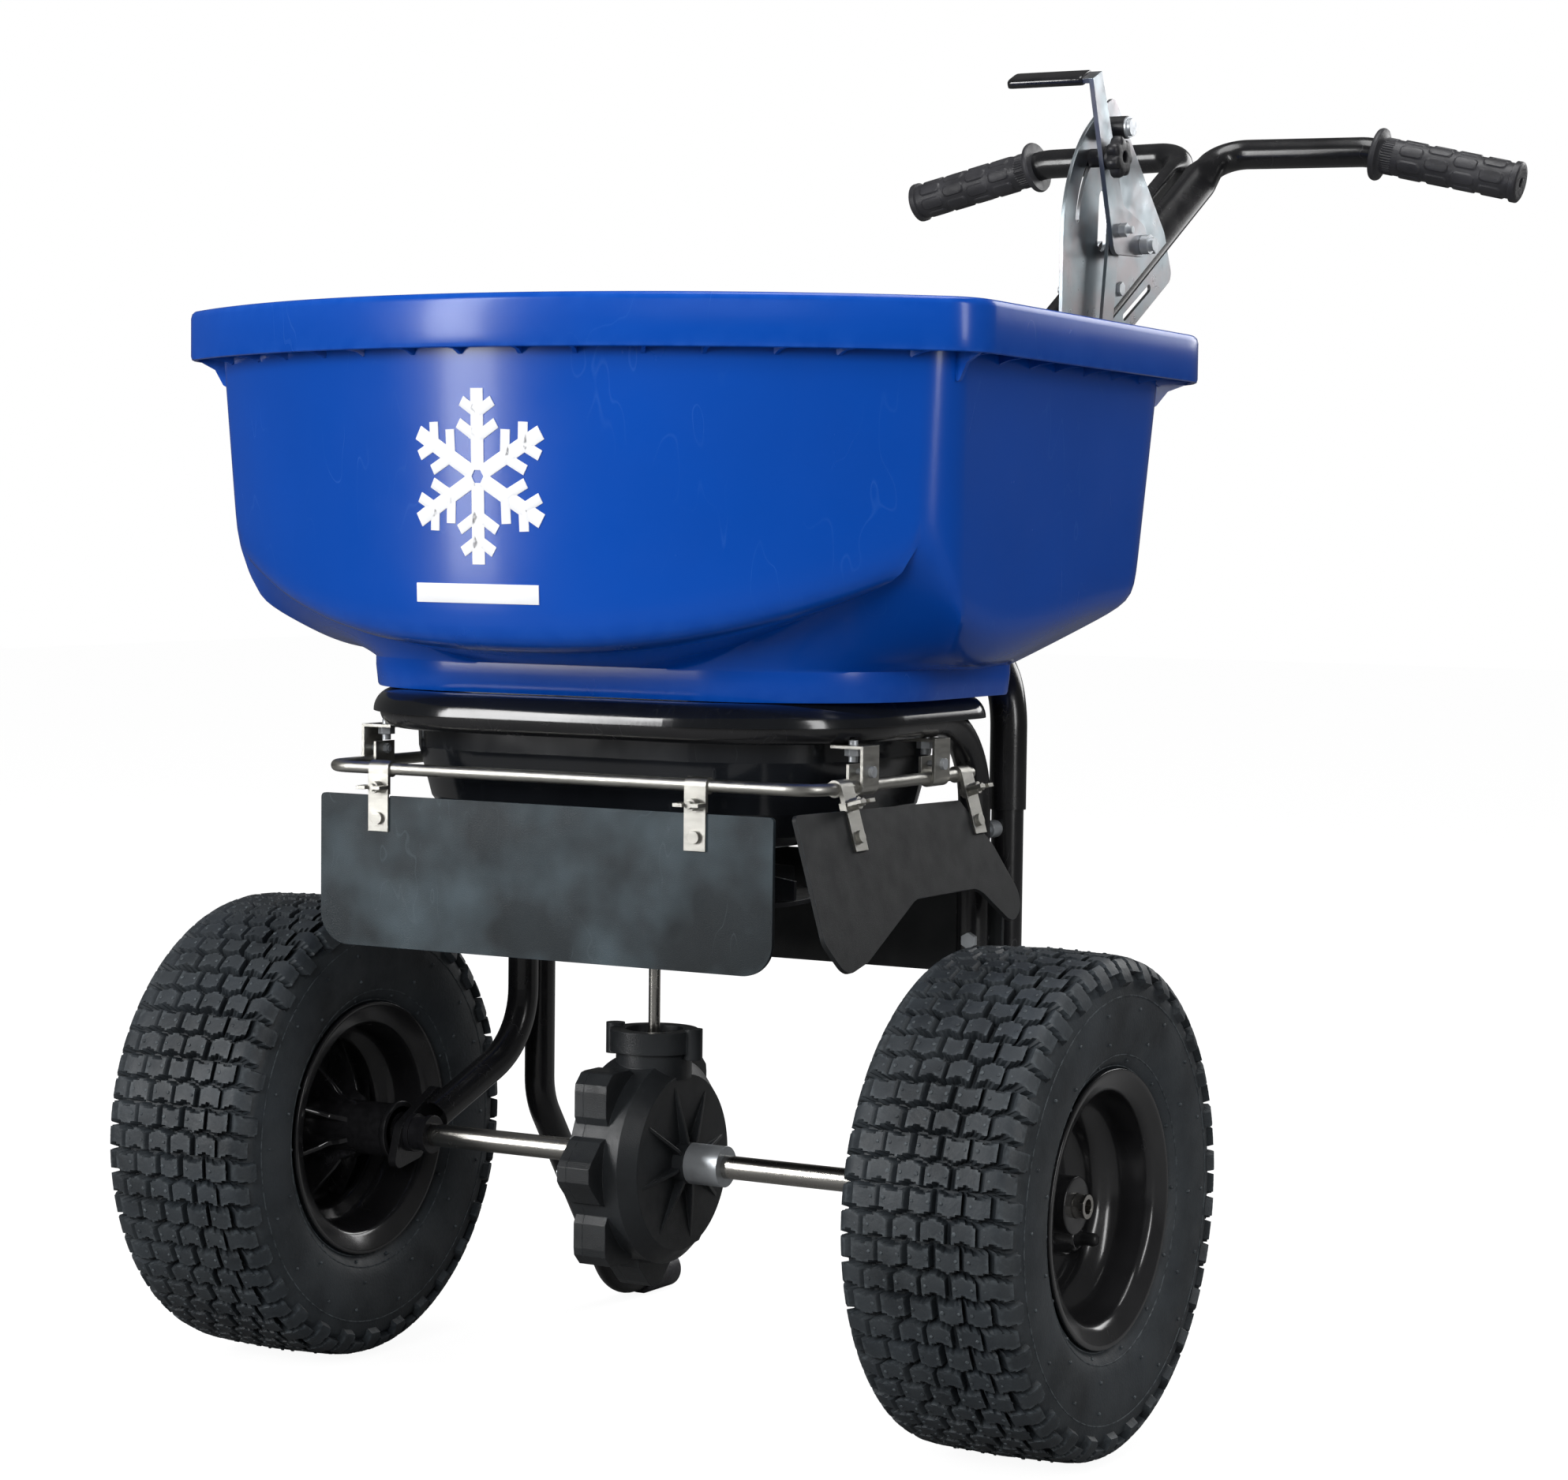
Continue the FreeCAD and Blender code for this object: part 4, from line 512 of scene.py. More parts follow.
def hopper_rows():
    """Rows of points from the base up outside, over the lip, down inside and out through the outlet."""
    outer, inner = wall_columns(0.0, 0.0), wall_columns(HOPPER_WALL, HOPPER_WALL)
    rows = [flat_row(outline(BASE_BOTTOM, 0.8), FLOOR_Z), flat_row(outline(BASE_BOTTOM), FLOOR_Z + 1.5),
            flat_row(outline(BASE_TOP), BASE_Z - 6), flat_row(outline(BASE_TOP), BASE_Z - 1)]
    for k in range(BELOW + ABOVE + 1):
        rows.append([column[k] for column in outer])
    wall_top = outline(WALL_HIGH)
    for share, z in ((0.03, 730.0), (0.12, 731.8), (0.3, 732.0)):
        rows.append(flat_row([blend(a, b, share) for a, b in zip(wall_top, outline(RIM, 4))], z))
    lip = ((6, 732), (4.3, 730), (4, 708), (3.4, 704), (2, RIM_BOTTOM), (0.7, 703.6), (0, 706), (0, 720),
           (0, 731), (0.8, 734), (2.6, 735.6), (5, RIM_TOP), (14, RIM_TOP), (24, RIM_TOP))
    for inset, z in lip:
        rows.append(flat_row(outline(RIM, inset), z))
    for inset, z in ((0.5, 735.7), (2.4, 734.6), (4, 731.5)):
        rows.append(flat_row(outline(WALL_HIGH, inset), z))
    for k in range(BELOW + ABOVE, -1, -1):
        rows.append([column[k] for column in inner])
    rows.append(flat_row(outline(BASE_TOP, HOPPER_WALL + 0.5), BASE_Z))
    for inset, z in ((-3.6, BASE_Z - 1.5), (-3, BASE_Z - 3), (-3, FLOOR_Z)):
        rows.append(flat_row(outline(OUTLET, inset), z))
    return [[tipped(*spot) for spot in row] for row in rows]


GUSSET_PITCH, GUSSET_THICK, GUSSET_TOP = 45.0, 2.6, 733.0
SMALL_DROP, LARGE_DROP = 1.8, 15.0         # how far a web hangs below the lip, at its wall


def add_gusset(shape, wall, lip, drop):
    """A thin web under the rim, from the wall out to the lip."""
    out = (Vector(lip) - Vector(wall)).normalized()
    along = Vector((-out.y, out.x)) * GUSSET_THICK / 2
    inner, outer = Vector(wall) - out * 1.5, Vector(lip)
    reach = (outer - inner).length
    low = RIM_BOTTOM - 0.5 - drop
    profile = [(0, GUSSET_TOP), (0, low), (1.6, low - 1), (3.5, low)]
    profile += [(reach * 0.45, RIM_BOTTOM - drop * 0.35), (reach, RIM_BOTTOM + 0.5), (reach, GUSSET_TOP)]
    rows = []
    for side in (-1, 1):
        rows.append([tipped(*(inner + out * a + along * side), z) for a, z in profile])
    shape.add(rows)


def add_gussets(shape):
    wall, lip = outline(WALL_HIGH), outline(RIM, 3.5)
    lengths = [0.0]
    for a, b in zip(lip, lip[1:]):
        lengths.append(lengths[-1] + math.dist(a, b))
    for i in (FRONT_CORNER + 6, BACK_CORNER):
        for k in (i, len(lip) - i):
            add_gusset(shape, wall[k], lip[k], LARGE_DROP)
    goal = GUSSET_PITCH / 2
    for i, length in enumerate(lengths):
        if length >= goal:
            add_gusset(shape, wall[i], lip[i], SMALL_DROP)
            goal += GUSSET_PITCH


hopper = Shape().add(hopper_rows(), ring=True)
add_gussets(hopper)
hopper.build("hopper_shell", hopper_blue, "frame", "hopper_plastic", ["hopper"], sharp=40)

# ---- generic winter mark on the hopper ----
MARK_X, MARK_Z, MARK_R, MARK_BAR = -7.0, 625.0, 54.0, 9.5
FORKS, FORK_ANGLE = ((0.44, 17), (0.72, 14)), math.radians(58)      # (place along an arm, length)
UNDERLINE_LEFT, UNDERLINE_RIGHT, UNDERLINE_DROP, UNDERLINE_WIDTH = -50, 44, 72, 12
STROKE = ((-1, -0.6), (-1, 0.5), (-0.9, 0.7), (0, 0.7), (0.9, 0.7), (1, 0.5), (1, -0.6), (0, -0.6))
front_high, front_low = outline(WALL_HIGH), outline(WALL_LOW)


def front_wall(x, z, out):
    """A point on the hopper's front wall, moved out from it."""
    nose_high, nose_low = front_high[:STRETCHES[0]], front_low[:STRETCHES[0]]
    share = (z - LOW_Z) / (HIGH_Z - LOW_Z)
    row = [blend(a, b, share) for a, b in zip(nose_low, nose_high)]
    for a, b in zip(row, row[1:]):
        if abs(x) <= b[0]:
            y = a[1] + (b[1] - a[1]) * (abs(x) - a[0]) / (b[0] - a[0])
            slope = (b[1] - a[1]) / (b[0] - a[0]) * (1 if x > 0 else -1)
            normal = Vector((slope, -1)).normalized()
            return tipped(x + normal.x * out, y + normal.y * out, z)
    raise ValueError("the mark runs off the front wall")


def add_stroke(shape, start, end, width):
    """A flat bar that follows the front wall, with cut ends."""
    start, end = Vector(start), Vector(end)
    along = (end - start).normalized()
    across = Vector((-along.y, along.x)) * width / 2
    pieces = max(2, round((end - start).length / 5))
    rows = []
    for k in range(pieces + 1):
        here = start.lerp(end, k / pieces)
        row = []
        for share, out in STROKE:
            spot = here + across * share
            row.append(front_wall(spot.x, spot.y, out))
        rows.append(row)
    shape.add(rows)


mark = Shape()
centre = Vector((MARK_X, MARK_Z))
for k in range(6):
    arm = math.radians(60 * k + 30)
    heading = Vector((math.cos(arm), math.sin(arm)))
    add_stroke(mark, centre + heading * 4, centre + heading * MARK_R, MARK_BAR)
    for share, length in FORKS:
        fork = centre + heading * MARK_R * share
        for side in (-1, 1):
            turned = arm + side * FORK_ANGLE
            branch = Vector((math.cos(turned), math.sin(turned)))
            add_stroke(mark, fork + branch, fork + branch * length, MARK_BAR * 0.72)
add_stroke(mark, (MARK_X + UNDERLINE_LEFT, MARK_Z - UNDERLINE_DROP),
           (MARK_X + UNDERLINE_RIGHT, MARK_Z - UNDERLINE_DROP), UNDERLINE_WIDTH)
mark.build("hopper_mark", mark_white, "frame")

# ---- tyres ----
WHEEL_X = 289.0
TREAD_ROWS, SLIT_PITCH = 60, 20.0
TREAD_R = 165.0
ROW_LENGTH = TURN * TREAD_R / TREAD_ROWS
GROOVE, SLIT, SLIT_END = 3.6, 2.6, 54.0     # widths, and how far from the middle the slits end
CHEVRON = 2.0                              # how far the cross grooves run forward and back
CELLS_PER_ROW = 12
SIDEWALL = [(46, 79), (47.6, 84), (48.2, 89), (52, 94), (55.4, 98.5), (57.8, 104), (59.2, 110), (60, 117),
            (60.4, 124), (60, 131), (59.2, 138), (58, 143.5)]
CASING = [(57, 147.5), (54.6, 150.4), (51.5, 152.8), (48, 154.6), (44, 155.6), (38, 156.1), (0, 156.4)]
LUG_TOP = [(61.8, 146.5), (60.6, 150.6), (57.8, 155.6), (54.2, 159.6), (50, 161.6), (42, 162.6),
           (0, 163.9)]
BORE = [(-46, 77), (-38, 77), (-40, 90), (-48, 102), (-53, 114), (-53.4, 126), (-51, 140), (-46, 149),
        (-36, 153), (36, 153), (46, 149), (51, 140), (53.4, 126), (53, 114), (48, 102), (40, 90), (38, 77),
        (46, 77)]
TREAD_STEP, TREAD_HALF, TREAD_UNEVEN = 1.55, 62.0, 0.12
SHOULDER = 0.1                             # share of the tread's half width with every second block
PIP_OFFSET, PIP_END, PIP_SHARE = 5.6, 50.0, 0.85
BEAD_R, SIDEWALL_HEIGHT = 79.0, 66.0
MOULDING_RINGS = (92.5, 101.5, 139.0)
SIDEWALL_NUBS = ((97, 14), (112, 11), (131, 18))           # (radius, how many round the tyre)
NUB_SIZE, NUB_DRIFT = 1.2, 0.12            # radius, and how unevenly they are spaced


def along_profile(points, share):
    """The point at a share of the length of a run of pairs."""
    lengths = [math.dist(a, b) for a, b in zip(points, points[1:])]
    goal = share * sum(lengths)
    for a, b, length in zip(points, points[1:], lengths):
        if goal <= length:
            return blend(a, b, goal / length)
        goal -= length
    return points[-1]


def zigzag(x):
    """How far the tread's cross grooves run ahead at this distance from the middle."""
    t = (x / SLIT_PITCH) % 1.0
    return CHEVRON * (4 * abs(t - 0.5) - 1)


def is_lug(x, round_place):
    """Whether the tread stands up here, and in which row of chevron blocks. Rows are half a block out."""
    place = round_place - zigzag(x)
    row = math.floor(place / ROW_LENGTH)
    inside = place - row * ROW_LENGTH
    shift = 0.0 if row % 2 else 0.5
    from_slit = ((x / SLIT_PITCH + shift + 0.5) % 1.0 - 0.5) * SLIT_PITCH
    in_slit = abs(from_slit) < SLIT / 2 and abs(x) < SLIT_END
    return inside >= GROOVE and not in_slit, row


def tyre(name, node, side, body):
    steps = TREAD_ROWS * CELLS_PER_ROW
    half_cells = round(TREAD_HALF / TREAD_STEP)
    fine = [k / half_cells for k in range(half_cells + 1)]
    casing = [along_profile(CASING, t) for t in fine]
    tops = [along_profile(LUG_TOP, t) for t in fine]
    rng = random.Random(7 + side)
    place = about_axle(side * WHEEL_X, side)
    rows = []
    for k in range(steps):
        angle = TURN * k / steps
        round_place = TURN * TREAD_R * k / steps
        profile = [(-u, r) for u, r in SIDEWALL]
        band = [(-1, i) for i in range(half_cells)] + [(1, i) for i in range(half_cells, -1, -1)]
        for sign, i in band:
            u, r = tops[i]
            stands, row = is_lug(sign * u, round_place)
            if fine[i] < SHOULDER and row % 2:
                stands = False
            if stands:
                profile.append((sign * u, r + rng.uniform(-TREAD_UNEVEN, TREAD_UNEVEN)))
            else:
                u, r = casing[i]
                profile.append((sign * u, r))
        profile += [(u, r) for u, r in reversed(SIDEWALL)]
        profile += [(-u, r) for u, r in BORE]
        rows.append([place(along, radius, angle) for along, radius in profile])
    shape = Shape().add(rows, ring=True)
    add_tread_pips(shape, place, rng)
    add_sidewall_trim(shape, place, rng)
    return shape.build(name, tyre_rubber, body, "tyre_rubber", [node], sharp=28)


def add_nub(shape, place, along, radius, angle, size, height, outward):
    """A small tapering rubber nub. outward 0 stands it on the tread and 1 on the sidewall."""
    rows = []
    for scale, rise in ((1.0, -0.6), (0.95, height * 0.6), (0.5, height)):
        row = []
        for k in range(6):
            turn = TURN * k / 6
            a, b = size * scale * math.cos(turn), size * scale * math.sin(turn)
            if outward:
                row.append(place(along + rise * outward, radius + a, angle + b / radius))
            else:
                row.append(place(along + a, radius + rise, angle + b / radius))
        rows.append(row)
    shape.add(rows)


def add_tread_pips(shape, place, rng):
    """Two low pips on each tread block."""
    for row in range(TREAD_ROWS):
        shift = 0.0 if row % 2 else 0.5
        for column in range(-3, 3):
            middle = (column + 0.5 - shift) * SLIT_PITCH
            for offset in (-PIP_OFFSET, PIP_OFFSET):
                x = middle + offset
                if abs(x) > PIP_END:
                    continue
                spot = row * ROW_LENGTH + zigzag(x) + GROOVE + (ROW_LENGTH - GROOVE) * 0.5
                radius = along_profile(LUG_TOP, 1 - abs(x) / TREAD_HALF)[1]
                if rng.random() < PIP_SHARE:
                    add_nub(shape, place, x, radius, spot / TREAD_R, rng.uniform(1.1, 1.6),
                            rng.uniform(0.6, 0.95), 0)


def add_sidewall_trim(shape, place, rng):
    """Thin moulding rings and vent nubs on both sidewalls."""
    for side in (-1, 1):
        for radius in MOULDING_RINGS:
            u, r = along_profile(SIDEWALL, (radius - BEAD_R) / SIDEWALL_HEIGHT)
            low, high = side * (u - 0.6), side * (u + 0.35)
            ring = [(low, r - 0.7), (high, r - 0.35), (high, r + 0.35), (low, r + 0.7)]
            lathe(shape, ring, place, 180)
        for radius, count in SIDEWALL_NUBS:
            u, r = along_profile(SIDEWALL, (radius - BEAD_R) / SIDEWALL_HEIGHT)
            for k in range(count):
                angle = TURN * (k + rng.uniform(-NUB_DRIFT, NUB_DRIFT)) / count
                add_nub(shape, place, side * u, r, angle, NUB_SIZE, rng.uniform(1.0, 1.7), side)


tyre("drive_tyre_tread", "drive_tyre", 1, "axle_drive")
tyre("free_tyre_tread", "free_tyre", -1, "free_wheel")

# ---- rims ----
HUB_R, HUB_IN, HUB_OUT = 19.0, -79.0, 30.0
RIM_PROFILE = [(-54, 88, 1), (-54, 90.4, 1), (-51.5, 90.4, 1), (-46.5, 77, 4), (-20, 74, 5), (-12, 63, 5),
               (12, 63, 5), (20, 74, 5), (46.5, 77, 4), (51.5, 90.4, 1), (54, 90.4, 1), (54, 87.5, 1.5),
               (49, 74.5, 5), (23, 72.5, 6), (15, 61, 4), (5, 58.5, 12), (-3, 40, 16), (6, 22, 6),
               (8, 17, 1), (4, 17, 1), (-6, 38, 16), (1, 60, 8), (-14, 60.5, 3), (-22, 72.2, 5),
               (-48.5, 74.2, 4)]
FIN_PROFILE = [(-47, 17), (-41, 22), (-34, 25), (-30, 33), (-13, 57), (-11, 60.2), (-2, 60.2), (-5, 40),
               (4, 17)]
FINS, FIN_THICK = 8, 3.2
VALVE_R, VALVE_TURN = 48.0, math.radians(-37)
VALVE_Y, VALVE_Z = VALVE_R * math.cos(VALVE_TURN), AXLE_Z + VALVE_R * math.sin(VALVE_TURN)
BOSS_START, VALVE_START = -3.0, -9.0       # how far out from the wheel's middle plane
BOSS_PROFILE = [(0, 6.2), (0, 15, 2), (5, 13.5, 3), (15, 8.6, 1), (16.5, 7.4, 0.6), (16.5, 6.2)]
VALVE_PROFILE = [(0, 5.6), (5, 6), (22.5, 5.9), (24.5, 4.6), (27, 4.4), (33.5, 4.4), (35.3, 4.0),
                 (36.4, 2.9), (36.9, 1.2)]
WHEELS = (("drive", 1, "axle_drive", 7.96), ("free", -1, "free_wheel", 11.02))    # the last is the bore


def rim(name, node, side, body, bore):
    place = about_axle(side * WHEEL_X, side)
    shape = Shape()
    lathe(shape, softened(RIM_PROFILE, 3), place, 128)
    hub = [(HUB_IN, bore), (HUB_IN, HUB_R, 1.2), (HUB_OUT, HUB_R, 1.2), (HUB_OUT, bore)]
    lathe(shape, softened(hub, 0.6, 3), place, 64)
    washer = [(HUB_IN, bore + 2), (HUB_IN, HUB_R + 2.5), (HUB_IN + 3, HUB_R + 2.5),
              (HUB_IN + 7, HUB_R - 0.5), (HUB_IN + 7, bore + 2)]
    lathe(shape, softened(washer, 0.6, 3), place, 64)
    for k in range(FINS):
        angle = TURN * (k + 0.5) / FINS

        def fin(along, radius, depth, angle=angle):
            x, y, z = place(along, radius, angle)
            from_middle = depth - FIN_THICK / 2
            return x, y - math.sin(angle) * from_middle, z + math.cos(angle) * from_middle
        slab(shape, softened(FIN_PROFILE, 1.5, 3), fin, FIN_THICK, 0.7)
    boss_line = about_line(Vector((side * (WHEEL_X + BOSS_START), VALVE_Y, VALVE_Z)), X * side)
    lathe(shape, softened(BOSS_PROFILE, 0.8, 4), boss_line, 40)
    shape.build(name, rim_black, body, "rim_paint", [node], sharp=40)


def valve(name, node, side, body):
    line = about_line(Vector((side * (WHEEL_X + VALVE_START), VALVE_Y, VALVE_Z)), X * side)
    rows = []
    for along, radius in VALVE_PROFILE:
        rows.append([line(along, radius, TURN * k / 28) for k in range(28)])
    Shape().add(rows).build(name, valve_rubber, body, "valve_rubber", [node], sharp=50)


for name, side, body, bore in WHEELS:
    rim(name + "_rim_pressed", name + "_rim", side, body, bore)
    valve(name + "_valve_stem", name + "_valve", side, body)

# ---- handle tubes ----
POST_X, POST_Y, POST_LOW, POST_HIGH = 191.0, 151.0, 405.0, 492.0
SPINE_X = 15.5
SPINE_LOW = Vector((SPINE_X, 330, 583))
BEND_RADII = (45, 70, 26, 60)
GRIP_IN, GRIP_OUT = Vector((159, 907, 915)), Vector((284, 915, 887))
FORK_RISE, TUBE_BEFORE_GRIP, TUBE_SHORT = 4, 8, 4          # the tube ends short of the grip's end
HANDLE_R, FLAT_X, FLAT_ACROSS = 12.7, 6.5, 16.0
FLAT_FROM, FLAT_TO, FLAT_EASE = 262.0, 642.0, 26.0


def mirror(vector, side):
    return Vector((vector.x * side, vector.y, vector.z))


def handle_section(share):
    """A tube's outline, round at share 0 and pressed flat with rounded edges at share 1."""
    wide = HANDLE_R + (FLAT_ACROSS - HANDLE_R) * share
    thin = HANDLE_R + (FLAT_X - HANDLE_R) * share
    power = 1.0 - 0.5 * share
    section = []
    for k in range(36):
        a = TURN * k / 36
        c, s = math.cos(a), math.sin(a)
        across, up = math.copysign(abs(c) ** power, c), math.copysign(abs(s) ** power, s)
        section.append((across * thin, up * wide))
    return section


def eased(t):
    t = min(max(t, 0.0), 1.0)
    return t * t * (3 - 2 * t)


def handle_tube(name, node, side):
    grip_dir = (GRIP_OUT - GRIP_IN).normalized()
    corners = [Vector((POST_X, POST_Y, POST_LOW)), Vector((POST_X, POST_Y, POST_HIGH)), SPINE_LOW,
               Vector((SPINE_X, GRIP_IN.y, GRIP_IN.z + FORK_RISE)), GRIP_IN - grip_dir * TUBE_BEFORE_GRIP,
               GRIP_OUT - grip_dir * TUBE_SHORT]
    corners = [mirror(c, side) for c in corners]
    path = bent_path(corners, BEND_RADII)
    low = mirror(SPINE_LOW, side)
    start = 0.0
    best = 1e9
    distance = 0.0
    for a, b in zip(path, path[1:]):
        distance += (b - a).length
        if (b - low).length < best:
            best, start = (b - low).length, distance

    def section(travelled):
        at = travelled - start
        share = eased((at - FLAT_FROM) / FLAT_EASE) * (1 - eased((at - FLAT_TO + FLAT_EASE) / FLAT_EASE))
        return handle_section(share)
    shape = Shape()
    sweep(shape, path, section, X)
    shape.build(name, frame_black, "frame", "frame_paint", [node], sharp=50)


handle_tube("handle_bar_left", "handle_tube_left", -1)
handle_tube("handle_bar_right", "handle_tube_right", 1)

# ---- grips ----
GRIP_R, FLANGE_R, END_BAND_R, GRIP_BORE = 15.2, 22.5, 17.4, 12.72
FLANGE_END, NECK_END, KNURL_END = 5.0, 8.0, 18.0           # places along a grip, from its flange
KNURLS, KNURL_HEIGHT, END_BAND = 44, 0.45, 6.0
PADS_ROUND, PAD_LENGTH, PAD_GAP = 7, 24.0, 3.2
PAD_START, PAD_END, PAD_CORNER, PAD_HEIGHT = 22.0, 118.0, 4.2, 1.15
GRIP_POINTS, GRIP_STEP = 132, 0.95         # points round a grip, and the distance between its rows
GRIP_CAP = ((0, 12.0), (0, 4.6), (0.8, 4.0), (3.4, 4.0), (3.5, GRIP_BORE))      # (depth, radius)


def grip_radius(along, angle, length):
    """A moulded grip: thumb flange, fine knurled band, rows of staggered pads and an end band."""
    if along < FLANGE_END:
        return FLANGE_R - 0.9 * (1 - math.sin(math.pi * along / FLANGE_END))
    if along < NECK_END:
        return GRIP_R + (FLANGE_R - GRIP_R - 2) * ((NECK_END - along) / (NECK_END - FLANGE_END)) ** 2
    if along < KNURL_END:
        return GRIP_R + KNURL_HEIGHT * (1 if math.sin(angle * KNURLS) > 0 else -0.6)
    if along > length - END_BAND:
        return END_BAND_R - max(0.0, along - length + 1.6) ** 2 * 0.7
    if along < PAD_START or along > PAD_END:
        return GRIP_R
    row = math.floor((along - PAD_START) / PAD_LENGTH)
    turn = angle * PADS_ROUND / TURN + (0.5 if row % 2 else 0.0)
    across = abs((turn % 1.0) - 0.5) * TURN * GRIP_R / PADS_ROUND
    lengthways = abs((along - PAD_START) / PAD_LENGTH - row - 0.5) * PAD_LENGTH
    half_across = TURN * GRIP_R / PADS_ROUND / 2 - PAD_GAP / 2
    half_long = PAD_LENGTH / 2 - PAD_GAP / 2
    dx = max(across - half_across + PAD_CORNER, 0)
    dy = max(lengthways - half_long + PAD_CORNER, 0)
    return GRIP_R + PAD_HEIGHT * eased(PAD_CORNER - math.hypot(dx, dy))


def grip(shape, side):
    start, end = mirror(GRIP_IN, side), mirror(GRIP_OUT, side)
    length = (end - start).length
    place = about_line(start, end - start)
    angles = [TURN * k / GRIP_POINTS for k in range(GRIP_POINTS)]
    stations = [k * GRIP_STEP for k in range(int(length / GRIP_STEP) + 1)] + [length]
    rows = [[place(0, GRIP_BORE, a) for a in angles]]
    for along in stations:
        rows.append([place(along, grip_radius(along, a, length), a) for a in angles])
    for depth, radius in GRIP_CAP:
        rows.append([place(length - depth, radius, a) for a in angles])
    shape.add(rows, ring=True)


grips = Shape()
grip(grips, -1)
grip(grips, 1)
grips.build("moulded_grips", grip_rubber, "frame", "grip_rubber", ["grips"], sharp=32)

# ---- knob and lever grip ----
LEVER_PIVOT_Y, LEVER_PIVOT_Z = 693.0, 828.0
STOP_RADIUS, STOP_ANGLE = 95.0, math.radians(136.7)
KNOB_Y = LEVER_PIVOT_Y + STOP_RADIUS * math.cos(STOP_ANGLE)
KNOB_Z = LEVER_PIVOT_Z + STOP_RADIUS * math.sin(STOP_ANGLE)
KNOB_START, KNOB_LOBES, KNOB_POINTS = 40.01, 7, 98
KNOB_RINGS = ((0, 9.5, 0), (3.4, 9.5, 0), (4.0, 13, 1.2), (4.8, 15.8, 3.2), (6.4, 17, 4.2),
              (11.5, 17.1, 4.2), (13.4, 16.2, 3.8), (14.7, 13.6, 2.0), (15.0, 10, 0), (14.9, 5.2, 0),
              (14.2, 4.6, 0), (7.0, 4.5, 0))               # (along, radius, depth of the scoops)
STUD_START = 18.62
STUD_PROFILE = ((0, 6.4), (3.1, 6.4), (3.15, 3.0), (18.4, 3.0))


def star(along, radius, depth):
    """Points round a lobed star, scooped between its lobes."""
    row = []
    for k in range(KNOB_POINTS):
        a = TURN * k / KNOB_POINTS
        wave = (0.5 + 0.5 * math.cos(KNOB_LOBES * a)) ** 0.6
        r = radius - depth * (1 - wave)
        row.append((KNOB_START + along, KNOB_Y + r * math.cos(a), KNOB_Z + r * math.sin(a)))
    return row


knob = Shape()
knob.add([star(*ring) for ring in KNOB_RINGS])
stud = about_line(Vector((STUD_START, KNOB_Y, KNOB_Z)), X)
knob.add([[stud(along, r, TURN * k / 30) for k in range(30)] for along, r in STUD_PROFILE])
knob.build("star_knob", knob_black, "knob", "knob_plastic", ["stop_knob"], sharp=38)

LEVER_TOP = Vector((0, 601, 957))
LEVER_UP = Vector((0, -0.406, 0.914)).normalized()
LEVER_ACROSS = X.cross(LEVER_UP).normalized()
LEVER_GRIP_ENDS = ((-35.5, 0.8), (-35.3, 0.9), (-34.4, 0.97), (-32, 1.0), (-10, 1.0), (10, 1.0), (28, 1.0),
                   (29.5, 0.97), (30.0, 0.9))              # (place along X, fullness)
LEVER_GRIP_HALF, LEVER_GRIP_THICK = 11.0, 4.1
lever_grip = Shape()
rows = []
for x, scale in LEVER_GRIP_ENDS:
    row = []
    for k in range(40):
        a = TURN * k / 40
        c, s = math.cos(a), math.sin(a)
        across = math.copysign(abs(c) ** 0.42, c) * LEVER_GRIP_HALF * (scale * 0.3 + 0.7)
        up = math.copysign(abs(s) ** 0.62, s) * LEVER_GRIP_THICK * scale - 2
        spot = LEVER_TOP + LEVER_ACROSS * across + LEVER_UP * up
        row.append((x, spot.y, spot.z))
    rows.append(row)
lever_grip.add(rows)
lever_grip.build("dipped_grip", vinyl, "lever", "vinyl", ["lever_grip"], sharp=60)

# ---- floor, light and camera ----
SKY_LIGHT = 0.36                # how brightly the backdrop lights the machine; the camera sees it white
SKY_MIRRORED = 0.09             # how bright the backdrop is in glossy surfaces, as in a dark studio
FLOOR_SHADE, FLOOR_GLOW = 0.16, 0.93
floor_mesh = bpy.data.meshes.new("floor")
floor_mesh.from_pydata([(-9, -9, 0), (9, -9, 0), (9, 12, 0), (-9, 12, 0)], [], [(0, 1, 2, 3)])
floor_paint = material("pale_floor", (0.9, 0.9, 0.9), 0.85, vary=0.01, bump=0.02)
floor_mesh.materials.append(floor_paint)
floor = bpy.data.objects.new("floor", floor_mesh)
bpy.context.scene.collection.objects.link(floor)

world = bpy.data.worlds.new("studio")
bpy.context.scene.world = world
world.use_nodes = True
sky_nodes, sky_links = world.node_tree.nodes, world.node_tree.links
backdrop = sky_nodes["Background"]
sky_path = sky_nodes.new("ShaderNodeLightPath")
seen = sky_path.outputs["Is Camera Ray"]
strength = sky_nodes.new("ShaderNodeMapRange")
strength.inputs["To Min"].default_value = SKY_LIGHT
strength.inputs["To Max"].default_value = 1.0
sky_links.new(seen, strength.inputs["Value"])
mirrored = sky_nodes.new("ShaderNodeMix")
mirrored.inputs["B"].default_value = SKY_MIRRORED
sky_links.new(sky_path.outputs["Is Glossy Ray"], mirrored.inputs["Factor"])
sky_links.new(strength.outputs["Result"], mirrored.inputs["A"])
sky_links.new(mirrored.outputs["Result"], backdrop.inputs["Strength"])
backdrop.inputs["Color"].default_value = (1.0, 1.0, 1.0, 1.0)
bpy.context.scene.view_settings.view_transform = "Standard"

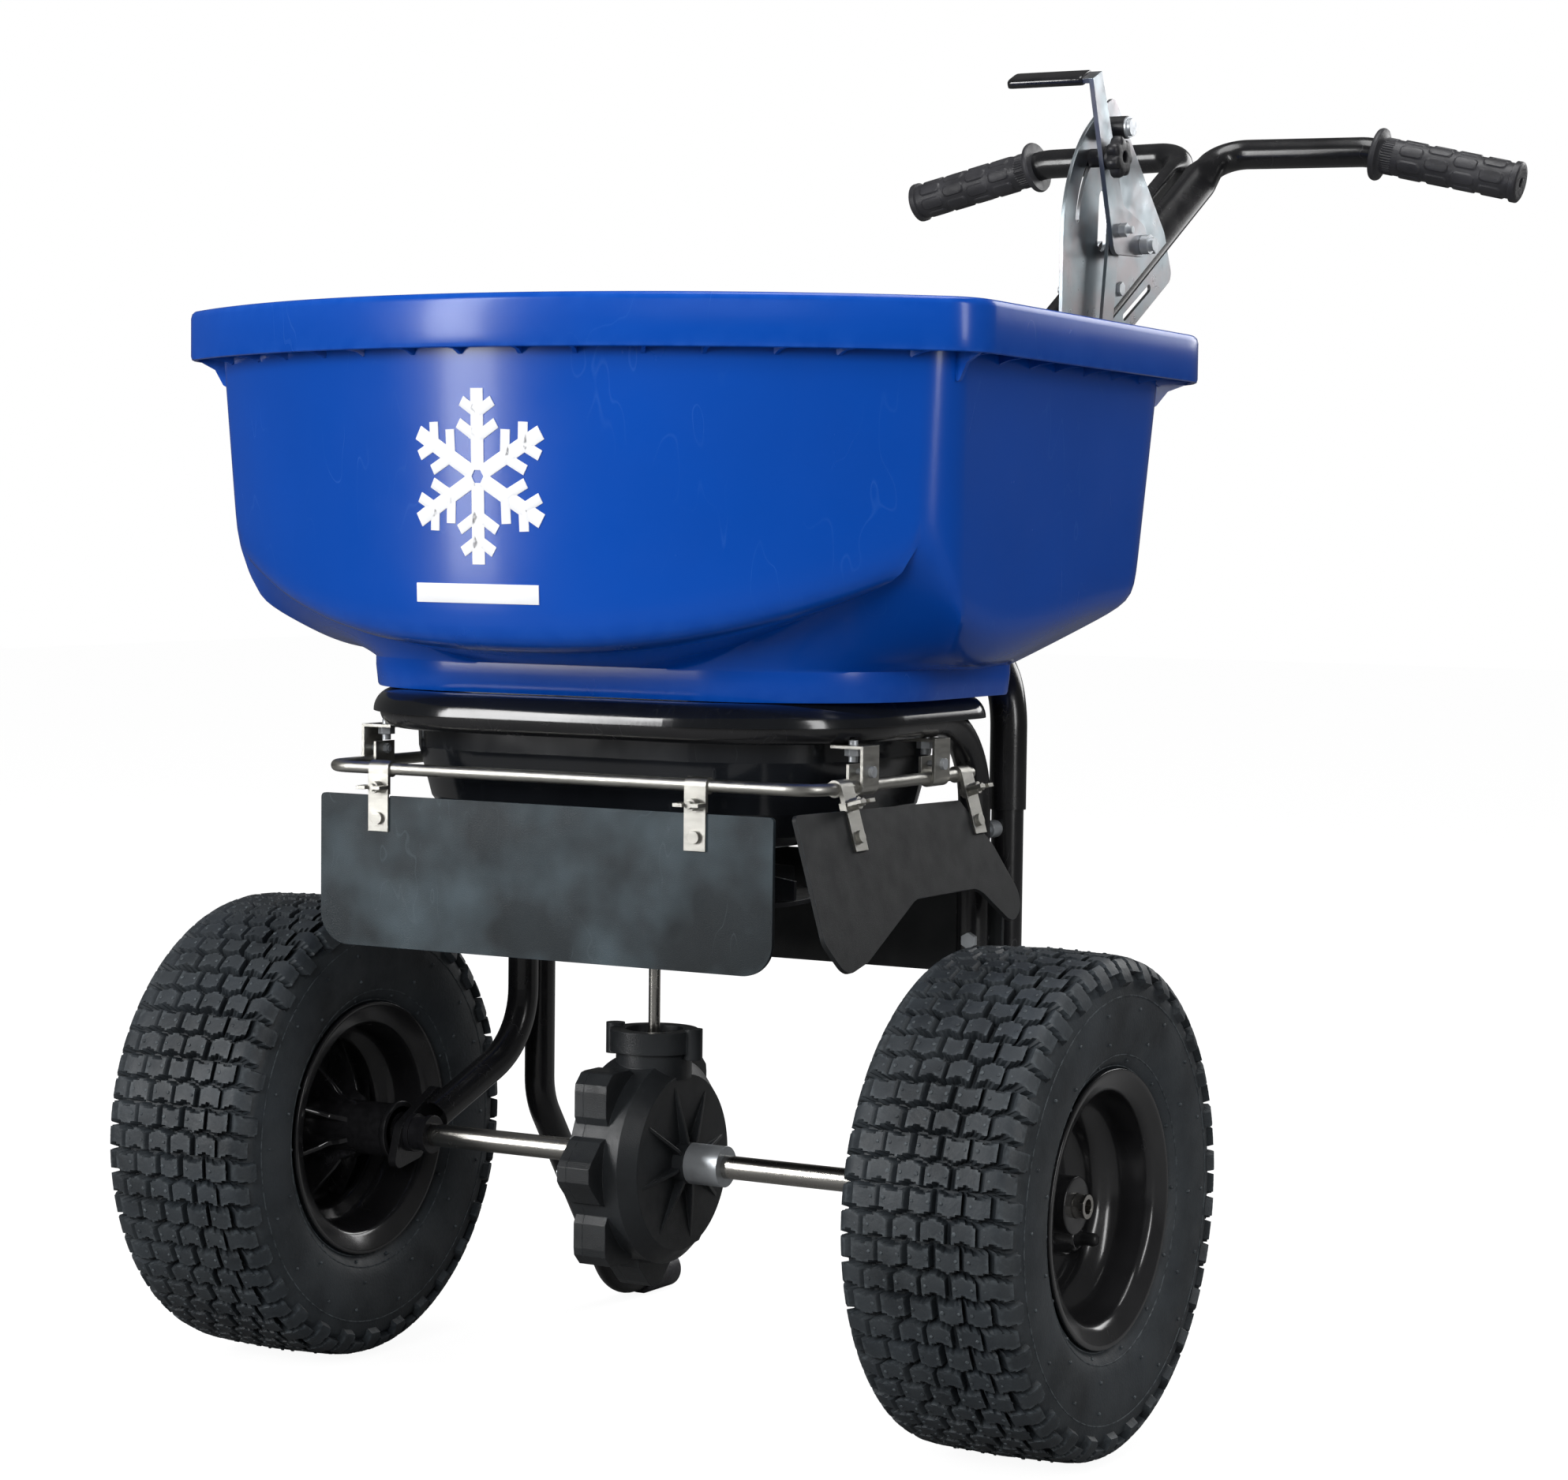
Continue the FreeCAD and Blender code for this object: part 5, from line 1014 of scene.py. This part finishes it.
paint_nodes, paint_links = floor_paint.node_tree.nodes, floor_paint.node_tree.links
floor_seen = paint_nodes.new("ShaderNodeLightPath").outputs["Is Camera Ray"]
floor_glow = paint_nodes.new("ShaderNodeMapRange")
floor_glow.inputs["To Max"].default_value = FLOOR_GLOW
paint_links.new(floor_seen, floor_glow.inputs["Value"])
floor_shader = paint_nodes["Principled BSDF"]
floor_shader.inputs["Emission Color"].default_value = (1.0, 1.0, 1.0, 1.0)
paint_links.new(floor_glow.outputs["Result"], floor_shader.inputs["Emission Strength"])
for link in list(floor_shader.inputs["Base Color"].links):
    paint_links.remove(link)
floor_shader.inputs["Base Color"].default_value = (FLOOR_SHADE, FLOOR_SHADE, FLOOR_SHADE, 1.0)


def softbox(name, place, aim, width, height, power, mirrored=True):
    """A large soft light that faces a point, and may be kept out of glossy surfaces."""
    lamp = bpy.data.lights.new(name, "AREA")
    lamp.shape = "RECTANGLE"
    lamp.size, lamp.size_y = width, height
    lamp.energy = power
    made = bpy.data.objects.new(name, lamp)
    made.location = place
    made.rotation_euler = (Vector(aim) - Vector(place)).to_track_quat("-Z", "Y").to_euler()
    made.visible_glossy = mirrored
    bpy.context.scene.collection.objects.link(made)


softbox("key_light", (-1.5, -2.5, 1.2), (0, -0.3, 0.5), 0.5, 1.8, 40)
softbox("fill_light", (0.5, -3.4, 1.4), (0, -0.3, 0.5), 1.6, 1.0, 45, mirrored=False)
softbox("side_light", (2.9, -1.2, 1.3), (0, -0.2, 0.5), 0.5, 2.0, 26)
softbox("top_light", (0.2, -0.2, 3.2), (0, -0.2, 0.5), 2.2, 1.6, 50)
softbox("back_light", (0.8, 3.0, 1.8), (0, 0, 0.6), 1.6, 1.6, 30)

YAW, PITCH, ROLL = math.radians(30.54), math.radians(3.93), math.radians(0.59)
LENS_LENGTH, SENSOR_WIDTH = 89.3, 36.0
LENS_SHIFT = (0.0479, 0.0189)
CAMERA_PLACE = point(1369.76, -2251.83, 613.31)
forward = Vector((-math.sin(YAW) * math.cos(PITCH), math.cos(YAW) * math.cos(PITCH), -math.sin(PITCH)))
level = Vector((math.cos(YAW), math.sin(YAW), 0))
upward = level.cross(forward)
right = level * math.cos(ROLL) + upward * math.sin(ROLL)
tilted = upward * math.cos(ROLL) - level * math.sin(ROLL)
lens = bpy.data.cameras.new("camera")
lens.sensor_width = SENSOR_WIDTH
lens.lens = LENS_LENGTH
lens.shift_x, lens.shift_y = LENS_SHIFT
camera = bpy.data.objects.new("camera", lens)
placed = Matrix((right, tilted, -forward)).transposed().to_4x4()
placed.translation = CAMERA_PLACE
camera.matrix_world = placed
bpy.context.scene.collection.objects.link(camera)
bpy.context.scene.camera = camera
